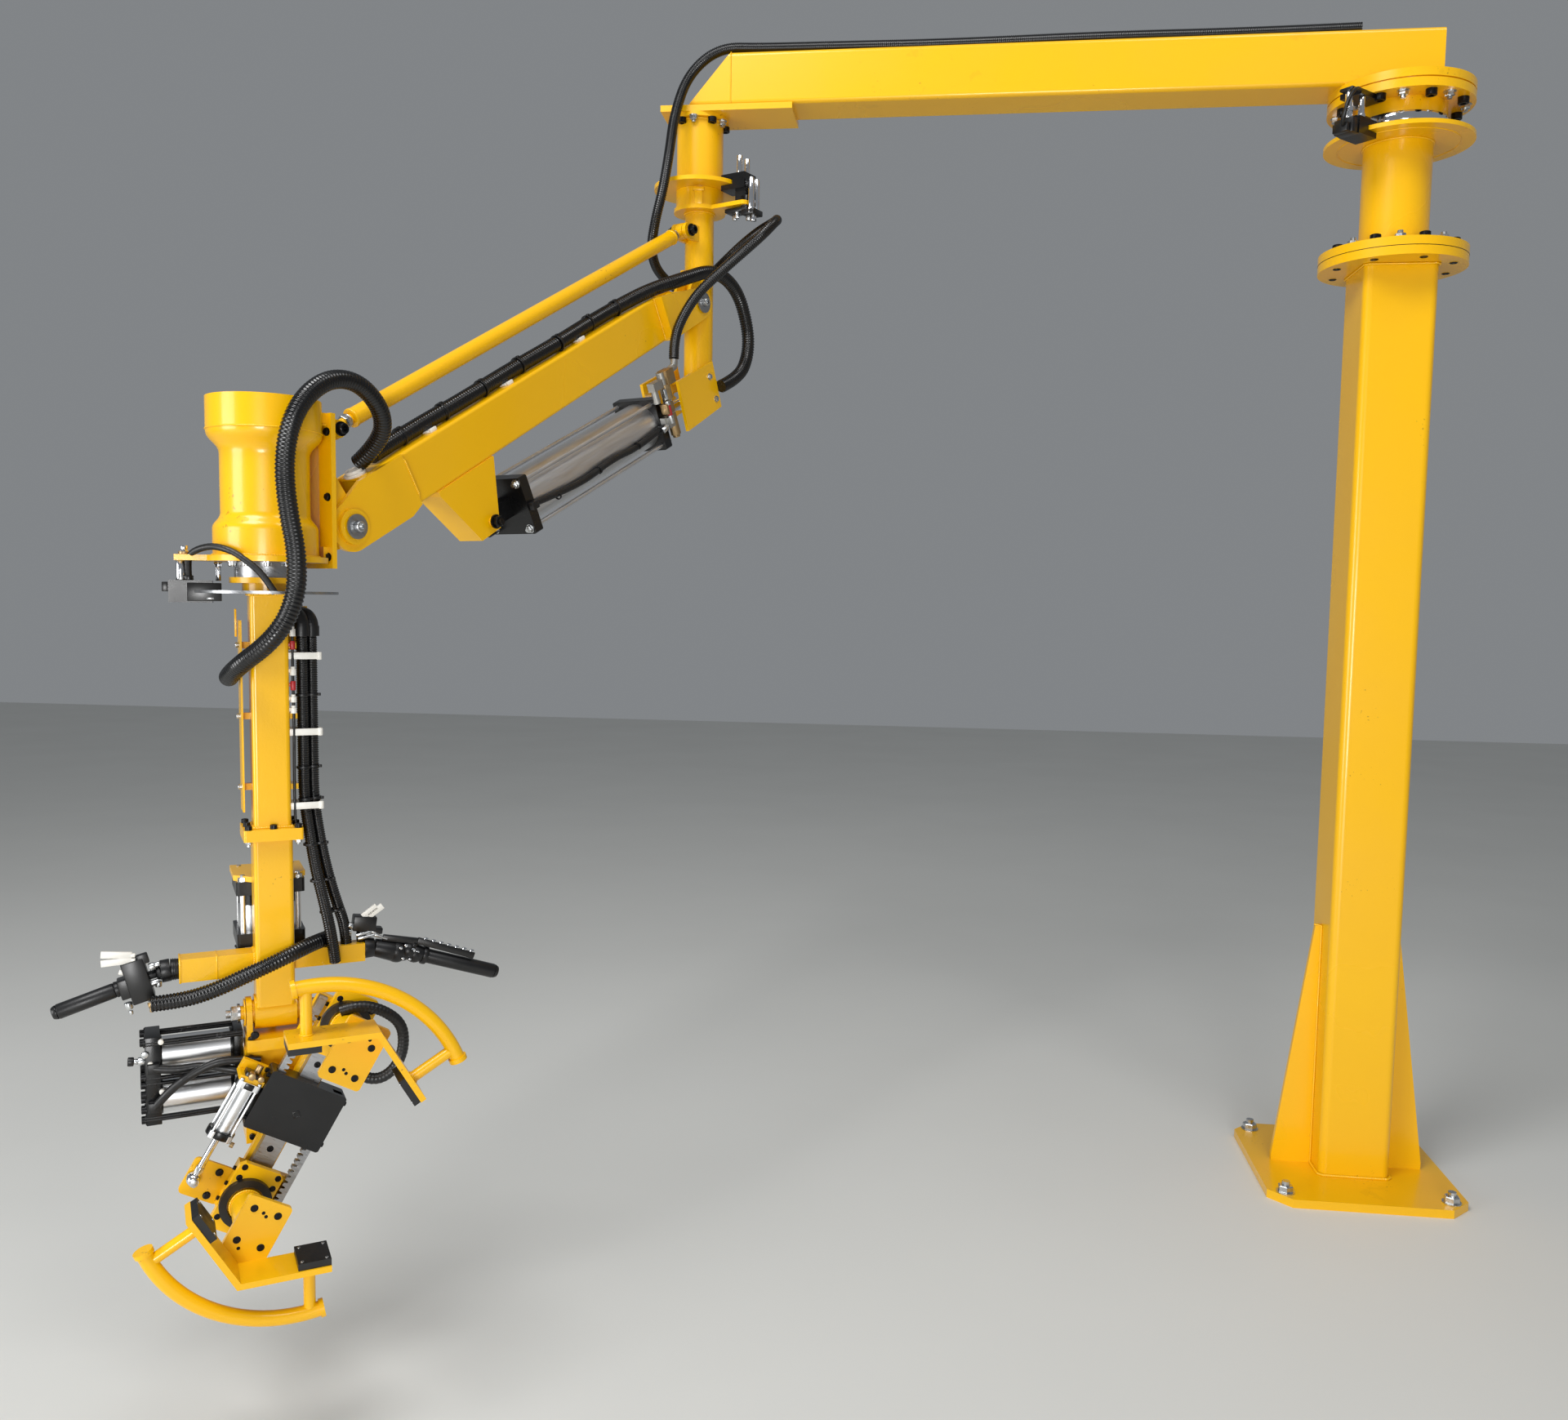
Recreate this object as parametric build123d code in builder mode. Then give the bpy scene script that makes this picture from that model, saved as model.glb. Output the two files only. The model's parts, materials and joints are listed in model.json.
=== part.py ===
from build123d import *
from math import cos, sin, tan, radians, degrees, atan2, hypot, pi
import os

# Industrial manipulator arm on a floor column, millimetres.
# The origin is the centre of the base plate's underside. The boom points along -X at rest.

# Column
base_size = 560
base_thickness = 25
base_corner_cut = 60
anchor_spacing = 460
anchor_hole = 26
column_size = 203.2
column_wall = 8
column_corner = 22
column_height = 2675
gusset_height = 740
gusset_foot = 118
gusset_top = 20
gusset_thickness = 16
column_flange_diameter = 400
flange_thickness = 25

# Round post and first swivel
post_diameter = 186
post_wall = 8
post_height = 335
post_cap = 12
disc_1_diameter = 400
disc_thickness = 12
disc_1_below_top = 25
bearing_1_height = 63
bearing_1_outer = 250
bearing_1_inner = 170
running_gap = 0.3

# Boom
boom_size = 152.4
boom_wall = 6.4
boom_corner = 12
boom_reach = 2040
boom_tail = 90
boom_nose_top = 1935
boom_nose_bottom = 2065
boom_flange_diameter = 390
boom_flange_height = 50
boom_flange_groove = 4
boom_cable_hole = 100
saddle_length = 398
saddle_tip = 106
saddle_width = 170
saddle_thickness = 18
drop_flange_diameter = 172
drop_flange_thickness = 12
drop_diameter = 141.3
drop_wall = 8
drop_length = 190
disc_2_diameter = 278

# Brake calipers
caliper_length = 84
caliper_width = 62
caliper_depth = 46
caliper_reach = 38
pad_gap = 2
stud_diameter = 12

# Mast under the second swivel
arm_turn = 245
spindle_diameter = 50
hub_diameter = 145
hub_height = 54
yoke_thickness = 12
ear_length = 190
ear_width = 70
mast_diameter = 88.9
mast_wall = 8
mast_length = 504
pivot_drop = 350
pivot_forward = 72
pivot_boss_diameter = 84
fin_height = 80
fin_thickness = 10
tie_pin_forward = 15
tie_pin_rise = 215
tie_pin_diameter = 20
lug_thickness = 12
lug_radius = 23

# Arm
arm_slope = 29.7
arm_length = 1500
beam_depth = 127
beam_width = 76
beam_wall = 6
beam_corner = 8
beam_lift = 16
beam_start = 190
beam_end_from_pin = 85
beam_end = arm_length - beam_end_from_pin
fork_gap = 110
cheek_thickness = 12
fork_plate = 12
fork_nose = 46
wrist_nose = 56
cheek_length = 210
cheek_start = arm_length - cheek_length
pin_diameter = 45
boss_diameter = 80
boss_height = 10
pin_stand_out = 4
pin_clearance = 0.3
side_gap = 1

# Tie rod
tie_rod_diameter = 42
tie_rod_neck = 22
tie_eye_diameter = 46
tie_eye_width = 24

# Balance cylinder
cap_pin_along = 1095
cap_pin_below = 188
cap_pin_diameter = 24
rod_pin_along = 144
rod_pin_below = 247
cap_head_from_pin = 98
barrel_total = 646
cylinder_head_size = 152
cylinder_head_thickness = 30
barrel_diameter = 133
barrel_bore = 127
cylinder_tie_diameter = 12
cylinder_tie_spread = 61
piston_rod_diameter = 32
piston_thickness = 30
piston_depth = 330
rod_eye_diameter = 60
rod_eye_width = 50
bracket_plate = 10
bracket_gap = 60
bracket_before_pin = 85
bracket_behind_pin = 127
bracket_foot = 55
bracket_lip = 12
bracket_web = 14
tang_width = 40

# Bracket plates at the foot of the mast
side_plate_gap = 124
side_plate_thickness = 10

# Wrist
wrist_offset = 187
back_plate_at = 64
back_plate_thickness = 12
back_plate_width = 150
back_plate_top = 240
back_plate_bottom = 95
shelf_thickness = 25
shelf_width = 120
housing_top = 257
housing_bottom = 73
housing_top_radius = 116
housing_waist_radius = 90
housing_foot_radius = 106
housing_wall = 8
ear_plate_thickness = 12
ear_plate_diameter = 250
ear_3_length = 178
ear_3_width = 96
ear_3_turn = -36
wrist_boss_diameter = 90

# Tool mast
tool_turn = 33.5
bearing_3_height = 32.7
bearing_3_diameter = 130
top_flange_diameter = 150
top_flange_thickness = 12
hub_3_diameter = 100
hub_3_height = 16
disc_3_diameter = 290
disc_3_thickness = 6
disc_3_bore = 58
tool_tube_size = 76
tool_tube_wall = 5
tool_tube_length = 501.5
tool_flange_size = 120
tool_flange_thickness = 12.5
tool_flange_hole = 50
lower_tube_size = 80
lower_tube_length = 384.5
sleeve_diameter = 76
sleeve_length = 86
tilt_pin_diameter = 30

# Tilt cylinder and its lever
tilt_plate_drop = 93.5
tilt_plate_size = 150
tilt_plate_thickness = 12
tilt_head_size = 142
tilt_head_thickness = 30
tilt_barrel_diameter = 127
tilt_barrel_length = 86
tilt_cylinder_back = 113
tilt_rod_diameter = 30
lever_radius = 115
lever_rest_angle = 14
lever_thickness = 16
lever_pin_diameter = 16
lever_pin_clearance = 2.2
clevis_gap = 24
clevis_plate = 10

# Tilt head
head_plate_width = 124
head_plate_front = 64
head_plate_back = 65
head_plate_thickness = 25
head_plate_below = 45
tilt_cheek_thickness = 12
tilt_cheek_inside = 48
tilt_cheek_radius = 34
actuator_left = 66
actuator_right = 80
actuator_depth = 90
roll_drop = 184
roll_offset = 25
roll_cylinder_rise = 64
roll_cylinder_back = 20
roll_cylinder_spacing = 94
roll_cylinder_diameter = 70
roll_cylinder_length = 164
roll_block_length = 28
roll_block_height = 188
roll_block_depth = 82
shaft_flange_diameter = 110

# Gripper
roll_angle = 30
gripper_forward = 75
bar_length = 430
bar_width = 62
bar_thickness = 16
rail_width = 45
rail_height = 24
rail_hole = 14
rail_hole_pitch = 98
block_length = 127
block_width = 170
block_height = 58
jaw_cylinder_side = 112
jaw_bracket_at = 35
jaw_cylinder_diameter = 42
jaw_cylinder_top = 3
jaw_cylinder_length = 100
jaw_cap_thickness = 14
jaw_cap_size = 50
jaw_rod_diameter = 14
rack_side = 65
rack_width = 18
rack_thickness = 16
rack_inner_end = 45
rack_outer_end = 238
tooth_pitch = 12.57
tooth_depth = 8
slot_clearance = 1.5

# Jaws
carriage_start = 140
carriage_length = 100
carriage_width = 92
carriage_height = 36
jaw_plate_start = 129
jaw_plate_length = 146
jaw_plate_width = 96
jaw_plate_thickness = 16
jaw_arm_at = 205
jaw_arm_diameter = 60
jaw_arm_length = 158
front_plate_width = 92
front_plate_start = 132
front_plate_thickness = 12
vee_vertex = 258
vee_leg = 166
vee_angle = 60
vee_thickness = 12
vee_width = 88
pad_length = 62
pad_width = 80
pad_thickness = 14
guard_diameter = 30
guard_radius = 290
guard_apex = 80
guard_half_angle = 40
guard_end_diameter = 37
guard_end_length = 9
strut_diameter = 23
strut_at = 128
wing_length = 80
wing_start = 165
wing_reach = 126
wing_thickness = 8
ring_radius = 52
ring_width = 15
ring_height = 14

# Hoses
boom_hose_diameter = 30
loop_hose_diameter = 30
arm_hose_diameter = 40
cylinder_hose_diameter = 18
tool_hose_diameter = 25
handle_hose_diameter = 34
thin_hose_diameter = 14
hose_lift = 0.5
valve_hose_end = (242, 88, -546)

# Handles
handle_drop = 951
left_arm_size = 50
left_arm_length = 150
left_arm_turn = 15
right_arm_size = 40
right_arm_length = 150
grip_diameter = 32
grip_length = 140

# Heights on the main axis
column_top = base_thickness + column_height
post_bottom = column_top + flange_thickness
post_top = post_bottom + flange_thickness + post_height
boom_flange_bottom = post_top + running_gap + bearing_1_height
boom_bottom = boom_flange_bottom + boom_flange_height
disc_1_top = post_top - disc_1_below_top
drop_flange_top = boom_bottom - saddle_thickness
drop_top = drop_flange_top - drop_flange_thickness
swivel_2_height = drop_top - drop_length - disc_thickness

# Frames of the moving sub-assemblies
mast_axis = (-boom_reach, 0, swivel_2_height)
arm_direction = (cos(radians(arm_turn)), sin(radians(arm_turn)), 0)
mast_frame = Plane(origin=mast_axis, x_dir=arm_direction, z_dir=(0, 0, 1))
arm_origin = mast_frame.from_local_coords(Vector(pivot_forward, 0, -pivot_drop))
slope_cos = cos(radians(arm_slope))
slope_sin = sin(radians(arm_slope))
arm_x = Vector(arm_direction[0] * slope_cos, arm_direction[1] * slope_cos, -slope_sin)
arm_z = Vector(arm_direction[0] * slope_sin, arm_direction[1] * slope_sin, slope_cos)
arm_frame = Plane(origin=arm_origin, x_dir=arm_x, z_dir=arm_z)
wrist_origin = arm_frame.from_local_coords(Vector(arm_length, 0, 0))
wrist_frame_plane = Plane(origin=wrist_origin, x_dir=arm_direction, z_dir=(0, 0, 1))
tool_origin = wrist_frame_plane.from_local_coords(Vector(wrist_offset, 0, 0))
tool_x = (cos(radians(tool_turn)), sin(radians(tool_turn)), 0)
tool_frame = Plane(origin=tool_origin, x_dir=tool_x, z_dir=(0, 0, 1))

# Heights on the tool mast, below the wrist pivot
ear_bottom = -housing_bottom - ear_plate_thickness
bearing_3_top = ear_bottom - running_gap
top_flange_top = bearing_3_top - bearing_3_height
hub_3_top = top_flange_top - top_flange_thickness
disc_3_top = hub_3_top - hub_3_height
tool_tube_top = disc_3_top - disc_3_thickness
tool_flange_top = tool_tube_top - tool_tube_length
joint_face = tool_flange_top - tool_flange_thickness
lower_tube_top = joint_face - tool_flange_thickness
tilt_axis_height = lower_tube_top - lower_tube_length
tilt_plate_top = lower_tube_top - tilt_plate_drop
tilt_head_top = tilt_plate_top - tilt_plate_thickness
head_plate_top = tilt_axis_height - head_plate_below
head_plate_bottom = head_plate_top - head_plate_thickness
roll_height = tilt_axis_height - roll_drop

# The balance cylinder's own frame: origin at the cap-end pin, x towards the rod-end pin
cap_pin = arm_frame.from_local_coords(Vector(cap_pin_along, 0, -cap_pin_below))
rod_pin = arm_frame.from_local_coords(Vector(rod_pin_along, 0, -rod_pin_below))
cylinder_length = (rod_pin - cap_pin).length
cylinder_x = (rod_pin - cap_pin).normalized()
cylinder_y = Vector(-sin(radians(arm_turn)), cos(radians(arm_turn)), 0)
cylinder_frame = Plane(origin=cap_pin, x_dir=cylinder_x, z_dir=cylinder_x.cross(cylinder_y))

# The gripper's frame: x along the rail towards the upper jaw, z towards the front
roll_origin = tool_frame.from_local_coords(Vector(roll_offset, -gripper_forward, roll_height))
front = Vector(sin(radians(tool_turn)), -cos(radians(tool_turn)), 0)
right = Vector(*tool_x)
up = Vector(0, 0, 1)
rail_direction = up * cos(radians(roll_angle)) + right * sin(radians(roll_angle))
gripper_frame = Plane(origin=roll_origin, x_dir=rail_direction, z_dir=front)
lower_jaw_frame_plane = Plane(origin=roll_origin, x_dir=-rail_direction, z_dir=front)


def finish(builder, label, frame=Plane.XY):
    """Place a piece modelled in its own frame, label it and write its file."""
    piece = frame.location * builder.part
    piece.label = label
    export_step(piece, f"parts/{label}.step")


def square_tube(size, wall, corner):
    """Sketch of a square tube's section with rounded corners."""
    RectangleRounded(size, size, corner)
    RectangleRounded(size - 2 * wall, size - 2 * wall, corner - wall / 2, mode=Mode.SUBTRACT)


os.makedirs("parts", exist_ok=True)

# Base plate with clipped corners and anchor holes
with BuildPart() as base_plate:
    with BuildSketch():
        Rectangle(base_size, base_size)
    extrude(amount=base_thickness)
    chamfer(base_plate.edges().filter_by(Axis.Z), base_corner_cut)
    with Locations((0, 0, base_thickness)):
        with GridLocations(anchor_spacing, anchor_spacing, 2, 2):
            Hole(anchor_hole / 2)
finish(base_plate, "base_plate")

# Column tube with its top flange and two tapered gussets
with BuildPart() as column:
    with BuildSketch(Plane.XY.offset(base_thickness)):
        square_tube(column_size, column_wall, column_corner)
    extrude(amount=column_height)
    with BuildSketch(Plane.XY.offset(column_top)):
        Circle(column_flange_diameter / 2)
    extrude(amount=flange_thickness)
    with BuildSketch(Plane.XZ):
        for side in (-1, 1):
            with BuildLine():
                inside = side * (column_size / 2 - column_wall / 2)
                foot = side * (column_size / 2 + gusset_foot)
                top = side * (column_size / 2 + gusset_top)
                Polyline(
                    (inside, base_thickness),
                    (foot, base_thickness),
                    (foot, base_thickness + gusset_top),
                    (top, base_thickness + gusset_height),
                    (inside, base_thickness + gusset_height),
                    close=True,
                )
            make_face()
    extrude(amount=gusset_thickness / 2, both=True)
finish(column, "column")

# Post: bolted flange, round pipe with a cap, and the first brake disc
with BuildPart() as post:
    with BuildSketch(Plane.XZ):
        with BuildLine():
            outer = post_diameter / 2
            bore = outer - post_wall
            flange_top = post_bottom + flange_thickness
            Polyline(
                (bore, post_bottom),
                (column_flange_diameter / 2, post_bottom),
                (column_flange_diameter / 2, flange_top),
                (outer, flange_top),
                (outer, disc_1_top - disc_thickness),
                (disc_1_diameter / 2, disc_1_top - disc_thickness),
                (disc_1_diameter / 2, disc_1_top),
                (outer, disc_1_top),
                (outer, post_top),
                (0, post_top),
                (0, post_top - post_cap),
                (bore, post_top - post_cap),
                close=True,
            )
        make_face()
    revolve(axis=Axis.Z)
finish(post, "post")

# Slewing ring on the post
with BuildPart() as slew_1_bearing:
    with BuildSketch(Plane.XY.offset(post_top + running_gap)):
        Circle(bearing_1_outer / 2)
        Circle(bearing_1_inner / 2, mode=Mode.SUBTRACT)
    extrude(amount=bearing_1_height)
finish(slew_1_bearing, "slew_1_bearing")

# Boom flange, two plates with a fine joint line
with BuildPart() as boom_flange:
    with BuildSketch(Plane.XY.offset(boom_flange_bottom)):
        Circle(boom_flange_diameter / 2)
        Circle(boom_cable_hole / 2, mode=Mode.SUBTRACT)
    extrude(amount=boom_flange_height)
    with BuildSketch(Plane.XY.offset(boom_flange_bottom + boom_flange_height / 2)):
        Circle(boom_flange_diameter / 2)
        Circle(boom_flange_diameter / 2 - 2 * boom_flange_groove, mode=Mode.SUBTRACT)
    extrude(amount=boom_flange_groove / 2, both=True, mode=Mode.SUBTRACT)
finish(boom_flange, "boom_flange")


def boom_side(inset):
    """Side outline of the boom, moved inwards by a wall."""
    nose_run = boom_nose_bottom - boom_nose_top
    bevel_inset = inset * (hypot(nose_run, boom_size) - nose_run) / boom_size
    with BuildSketch(Plane.XZ) as outline:
        with BuildLine():
            Polyline(
                (boom_tail - inset, boom_bottom + inset),
                (-boom_nose_bottom + inset + bevel_inset, boom_bottom + inset),
                (-boom_nose_top + bevel_inset, boom_bottom + boom_size - inset),
                (boom_tail - inset, boom_bottom + boom_size - inset),
                close=True,
            )
        make_face()
    return outline.sketch


# Boom tube with a mitred nose, hollow, open over the slewing ring for cables
with BuildPart() as boom_tube:
    extrude(boom_side(0), amount=boom_size / 2, both=True)
    fillet(boom_tube.edges().filter_by(Axis.X), boom_corner)
    extrude(boom_side(boom_wall), amount=boom_size / 2 - boom_wall, both=True, mode=Mode.SUBTRACT)
    with BuildSketch(Plane.XY.offset(boom_bottom)):
        Circle(boom_cable_hole / 2)
    extrude(amount=boom_size / 2, mode=Mode.SUBTRACT)
finish(boom_tube, "boom_tube")

# Drop under the boom's nose: saddle plate, flange, pipe and the second brake disc
with BuildPart() as boom_drop:
    with BuildSketch(Plane.XY.offset(drop_flange_top)):
        with Locations((-boom_reach - saddle_tip + saddle_length / 2, 0)):
            Rectangle(saddle_length, saddle_width)
    extrude(amount=saddle_thickness)
    with BuildSketch(Plane.XY.offset(drop_top)):
        with Locations((-boom_reach, 0)):
            Circle(drop_flange_diameter / 2)
    extrude(amount=drop_flange_thickness)
    with BuildSketch(Plane.XY.offset(swivel_2_height + disc_thickness)):
        with Locations((-boom_reach, 0)):
            Circle(drop_diameter / 2)
            Circle(drop_diameter / 2 - drop_wall, mode=Mode.SUBTRACT)
    extrude(amount=drop_length)
    with BuildSketch(Plane.XY.offset(swivel_2_height)):
        with Locations((-boom_reach, 0)):
            Circle(disc_2_diameter / 2)
            Circle(spindle_diameter / 2 + pin_clearance, mode=Mode.SUBTRACT)
    extrude(amount=disc_thickness)
finish(boom_drop, "boom_drop")


def caliper_body(radius, disc_top, thickness, stud_top):
    """Brake caliper gripping a disc's rim on the +X side, with two studs to its carrier."""
    middle = disc_top - thickness / 2
    centre = radius - caliper_reach + caliper_length / 2
    with Locations((centre, 0, middle)):
        Box(caliper_length, caliper_width, caliper_depth)
    slot = caliper_reach + pad_gap
    with Locations((radius - caliper_reach + slot / 2, 0, middle)):
        Box(slot, caliper_width, thickness + 2 * pad_gap, mode=Mode.SUBTRACT)
    stud_length = stud_top - middle - caliper_depth / 2
    for side in (-1, 1):
        with Locations((radius + 22, side * 20, stud_top - stud_length / 2)):
            Cylinder(stud_diameter / 2, stud_length)


# First brake caliper, hung from the boom by a bracket
caliper_1_turn = 222
caliper_1_plane = Plane.XY.rotated((0, 0, caliper_1_turn))
bracket_1_bottom = boom_flange_bottom - 14
with BuildPart() as slew_1_caliper:
    caliper_body(disc_1_diameter / 2, disc_1_top, disc_thickness, bracket_1_bottom)
    with Locations((disc_1_diameter / 2 - 6, 0, bracket_1_bottom + 7)):
        Box(104, 64, 14)
finish(slew_1_caliper, "slew_1_caliper", caliper_1_plane)

# Mast: hub, spindle, yoke plate with its ear, and the pipe
ear_turn = 90
with BuildPart() as mast_pipe:
    with BuildSketch(Plane.XZ):
        with BuildLine():
            hub_radius = hub_diameter / 2
            yoke_top = -hub_height
            yoke_bottom = yoke_top - yoke_thickness
            pipe_bottom = yoke_bottom - mast_length
            Polyline(
                (0, 60),
                (spindle_diameter / 2, 60),
                (spindle_diameter / 2, -running_gap),
                (hub_radius, -running_gap),
                (hub_radius, yoke_top),
                (hub_radius + 6, yoke_top),
                (hub_radius + 6, yoke_bottom),
                (mast_diameter / 2, yoke_bottom),
                (mast_diameter / 2, pipe_bottom),
                (0, pipe_bottom),
                close=True,
            )
        make_face()
    revolve(axis=Axis.Z)
    with BuildSketch(Plane.XY.offset(pipe_bottom)):
        Circle(mast_diameter / 2 - mast_wall)
    extrude(amount=mast_length - 12, mode=Mode.SUBTRACT)
    with BuildSketch(Plane.XY.offset(yoke_bottom)):
        with Locations((0, ear_length / 2)):
            Rectangle(ear_width, ear_length)
        Circle(hub_radius + 6, mode=Mode.SUBTRACT)
    extrude(amount=yoke_thickness)
    fillet(mast_pipe.edges().filter_by(Axis.Z).group_by(Axis.Y)[-1], 14)
finish(mast_pipe, "mast_pipe", mast_frame)

# Second caliper, on the yoke's ear: it grips the disc from outside, its studs stand below
with BuildPart() as slew_2_caliper:
    caliper_body(disc_2_diameter / 2, disc_thickness, disc_thickness, 80)
    foot_bottom = -hub_height
    with Locations((disc_2_diameter / 2 + 26, 0, (foot_bottom - 17) / 2)):
        Box(36, 44, -17 - foot_bottom)
caliper_2_plane = Plane(mast_frame.location * Location((0, 0, 0), (0, 0, ear_turn)))
finish(slew_2_caliper, "slew_2_caliper", caliper_2_plane)


def lug_pair(pin_x, pin_z, root_x, gap, thickness, radius):
    """Two round-nosed lugs either side of a link, from a root face to a pin."""
    for side in (-1, 1):
        middle = side * (gap + thickness) / 2
        with Locations((pin_x, middle, pin_z)):
            Cylinder(radius, thickness, rotation=(90, 0, 0))
        with Locations(((pin_x + root_x) / 2, middle, pin_z)):
            Box(abs(root_x - pin_x), thickness, 2 * radius)


# Cross boss for the arm's pivot, its fins and the tie-rod lugs
with BuildPart() as mast_pivot:
    with BuildSketch(Plane.XZ):
        with Locations((pivot_forward, -pivot_drop)):
            Circle(pivot_boss_diameter / 2)
    extrude(amount=fork_gap / 2 - side_gap, both=True)
    for side in (-1, 1):
        with BuildSketch(Plane.XZ.offset(side * 26)):
            with BuildLine():
                Polyline(
                    (0, -pivot_drop + 30),
                    (pivot_forward + 20, -pivot_drop + 30),
                    (mast_diameter / 2 + 8, -pivot_drop + 30 + fin_height),
                    (0, -pivot_drop + 30 + fin_height),
                    close=True,
                )
            make_face()
        extrude(amount=fin_thickness / 2, both=True)
    tie_x = pivot_forward + tie_pin_forward
    tie_z = -pivot_drop + tie_pin_rise
    lug_pair(tie_x, tie_z, 0, tie_eye_width + 4, lug_thickness, lug_radius)
    with BuildSketch(Plane.XZ):
        with Locations((tie_x, tie_z)):
            Circle(tie_pin_diameter / 2)
    extrude(amount=tie_eye_width / 2 + 2 + lug_thickness + 8, both=True)
    with BuildSketch(Plane.XY):
        Circle(mast_diameter / 2)
    extrude(amount=-mast_length, mode=Mode.SUBTRACT)
    with BuildSketch(Plane.XZ):
        with Locations((pivot_forward, -pivot_drop)):
            Circle(pin_diameter / 2 + pin_clearance)
    extrude(amount=fork_gap / 2, both=True, mode=Mode.SUBTRACT)
finish(mast_pivot, "mast_pivot", mast_frame)

# Side plates at the mast's foot, which take the cylinder's thrust
with BuildPart() as mast_cylinder_bracket:
    for side in (-1, 1):
        inner = side * side_plate_gap / 2
        with BuildSketch(Plane.XZ.offset(-inner)):
            with BuildLine():
                Polyline((199, -603), (25, -518), (-26, -647), (144, -742), close=True)
            make_face()
        extrude(amount=-side * side_plate_thickness)
    with BuildSketch(Plane.XY.offset(pipe_bottom)):
        with Locations((16, 0)):
            Rectangle(76, side_plate_gap)
    extrude(amount=-12)
finish(mast_cylinder_bracket, "mast_cylinder_bracket", mast_frame)

# Arm beam, rectangular tube
with BuildPart() as arm_beam:
    with BuildSketch(Plane.YZ.offset(beam_start)):
        with Locations((0, beam_lift)):
            RectangleRounded(beam_width, beam_depth, beam_corner)
            RectangleRounded(
                beam_width - 2 * beam_wall,
                beam_depth - 2 * beam_wall,
                beam_corner - beam_wall / 2,
                mode=Mode.SUBTRACT,
            )
    extrude(amount=beam_end - beam_start)
finish(arm_beam, "arm_beam", arm_frame)

# Fork at the mast end: end plate and two cheeks around the mast's boss
with BuildPart() as arm_fork:
    fork_width = fork_gap + 2 * cheek_thickness
    with BuildSketch(Plane.YZ.offset(beam_start)):
        with Locations((0, beam_lift)):
            Rectangle(fork_width, beam_depth)
    extrude(amount=-fork_plate)
    for side in (-1, 1):
        inner = side * fork_gap / 2
        with BuildSketch(Plane.XZ.offset(-inner)):
            with BuildLine():
                plate_face = beam_start - fork_plate
                low = beam_lift - beam_depth / 2
                high = beam_lift + beam_depth / 2
                Polyline((plate_face, low), (0, -fork_nose), (0, fork_nose), (plate_face, high), close=True)
            make_face()
            Circle(fork_nose)
            Circle(pin_diameter / 2 + pin_clearance, mode=Mode.SUBTRACT)
        extrude(amount=-side * cheek_thickness)
finish(arm_fork, "arm_fork", arm_frame)

# Cheeks at the wrist end, each with a raised boss round its pin
with BuildPart() as arm_cheeks:
    for side in (-1, 1):
        inner = side * beam_width / 2
        with BuildSketch(Plane.XZ.offset(-inner)):
            with BuildLine():
                high = beam_lift + beam_depth / 2
                low = -wrist_nose - 2
                Polyline(
                    (cheek_start, high),
                    (arm_length - 70, high),
                    (arm_length, wrist_nose),
                    (arm_length, -wrist_nose),
                    (cheek_start + 40, low),
                    (cheek_start, low + 12),
                    close=True,
                )
            make_face()
            with Locations((arm_length, 0)):
                Circle(wrist_nose)
        extrude(amount=-side * cheek_thickness)
        with BuildSketch(Plane.XZ.offset(-inner - side * cheek_thickness)):
            with Locations((arm_length, 0)):
                Circle(boss_diameter / 2)
        extrude(amount=-side * boss_height)
    with BuildSketch(Plane.XZ):
        with Locations((arm_length, 0)):
            Circle(pin_diameter / 2 + pin_clearance)
    extrude(amount=fork_width, both=True, mode=Mode.SUBTRACT)
finish(arm_cheeks, "arm_cheeks", arm_frame)

# The two pivot pins that the arm carries
with BuildPart() as arm_pins:
    for along, half in (
        (0, fork_gap / 2 + cheek_thickness + pin_stand_out),
        (arm_length, beam_width / 2 + cheek_thickness + boss_height + pin_stand_out),
    ):
        with BuildSketch(Plane.XZ):
            with Locations((along, 0)):
                Circle(pin_diameter / 2)
        extrude(amount=half, both=True)
finish(arm_pins, "arm_pins", arm_frame)

# Bracket under the beam for the cylinder's cap end, with its pin
with BuildPart() as arm_cylinder_bracket:
    beam_bottom = beam_lift - beam_depth / 2
    bracket_end = cap_pin_along + bracket_behind_pin
    for side in (-1, 1):
        inner = side * bracket_gap / 2
        with BuildSketch(Plane.XZ.offset(-inner)):
            with BuildLine():
                Polyline(
                    (cap_pin_along - bracket_before_pin, beam_bottom),
                    (bracket_end, beam_bottom),
                    (bracket_end, beam_bottom - bracket_lip),
                    (cap_pin_along + bracket_foot, -cap_pin_below - 26),
                    (cap_pin_along - 18, -cap_pin_below - 26),
                    (cap_pin_along - 26, -cap_pin_below),
                    close=True,
                )
            make_face()
        extrude(amount=-side * bracket_plate)
    with BuildSketch(Plane.XZ):
        with BuildLine():
            Polyline(
                (bracket_end, beam_bottom),
                (bracket_end, beam_bottom - bracket_lip),
                (cap_pin_along + bracket_foot, -cap_pin_below - 26),
                (cap_pin_along + bracket_foot - 12, -cap_pin_below - 20),
                (bracket_end - bracket_web, beam_bottom - bracket_lip / 2),
                (bracket_end - bracket_web, beam_bottom),
                close=True,
            )
        make_face()
    extrude(amount=bracket_gap / 2, both=True)
    with BuildSketch(Plane.XZ):
        with Locations((cap_pin_along, -cap_pin_below)):
            Circle(cap_pin_diameter / 2)
    extrude(amount=bracket_gap / 2 + bracket_plate + 12, both=True)
finish(arm_cylinder_bracket, "arm_cylinder_bracket", arm_frame)

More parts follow.
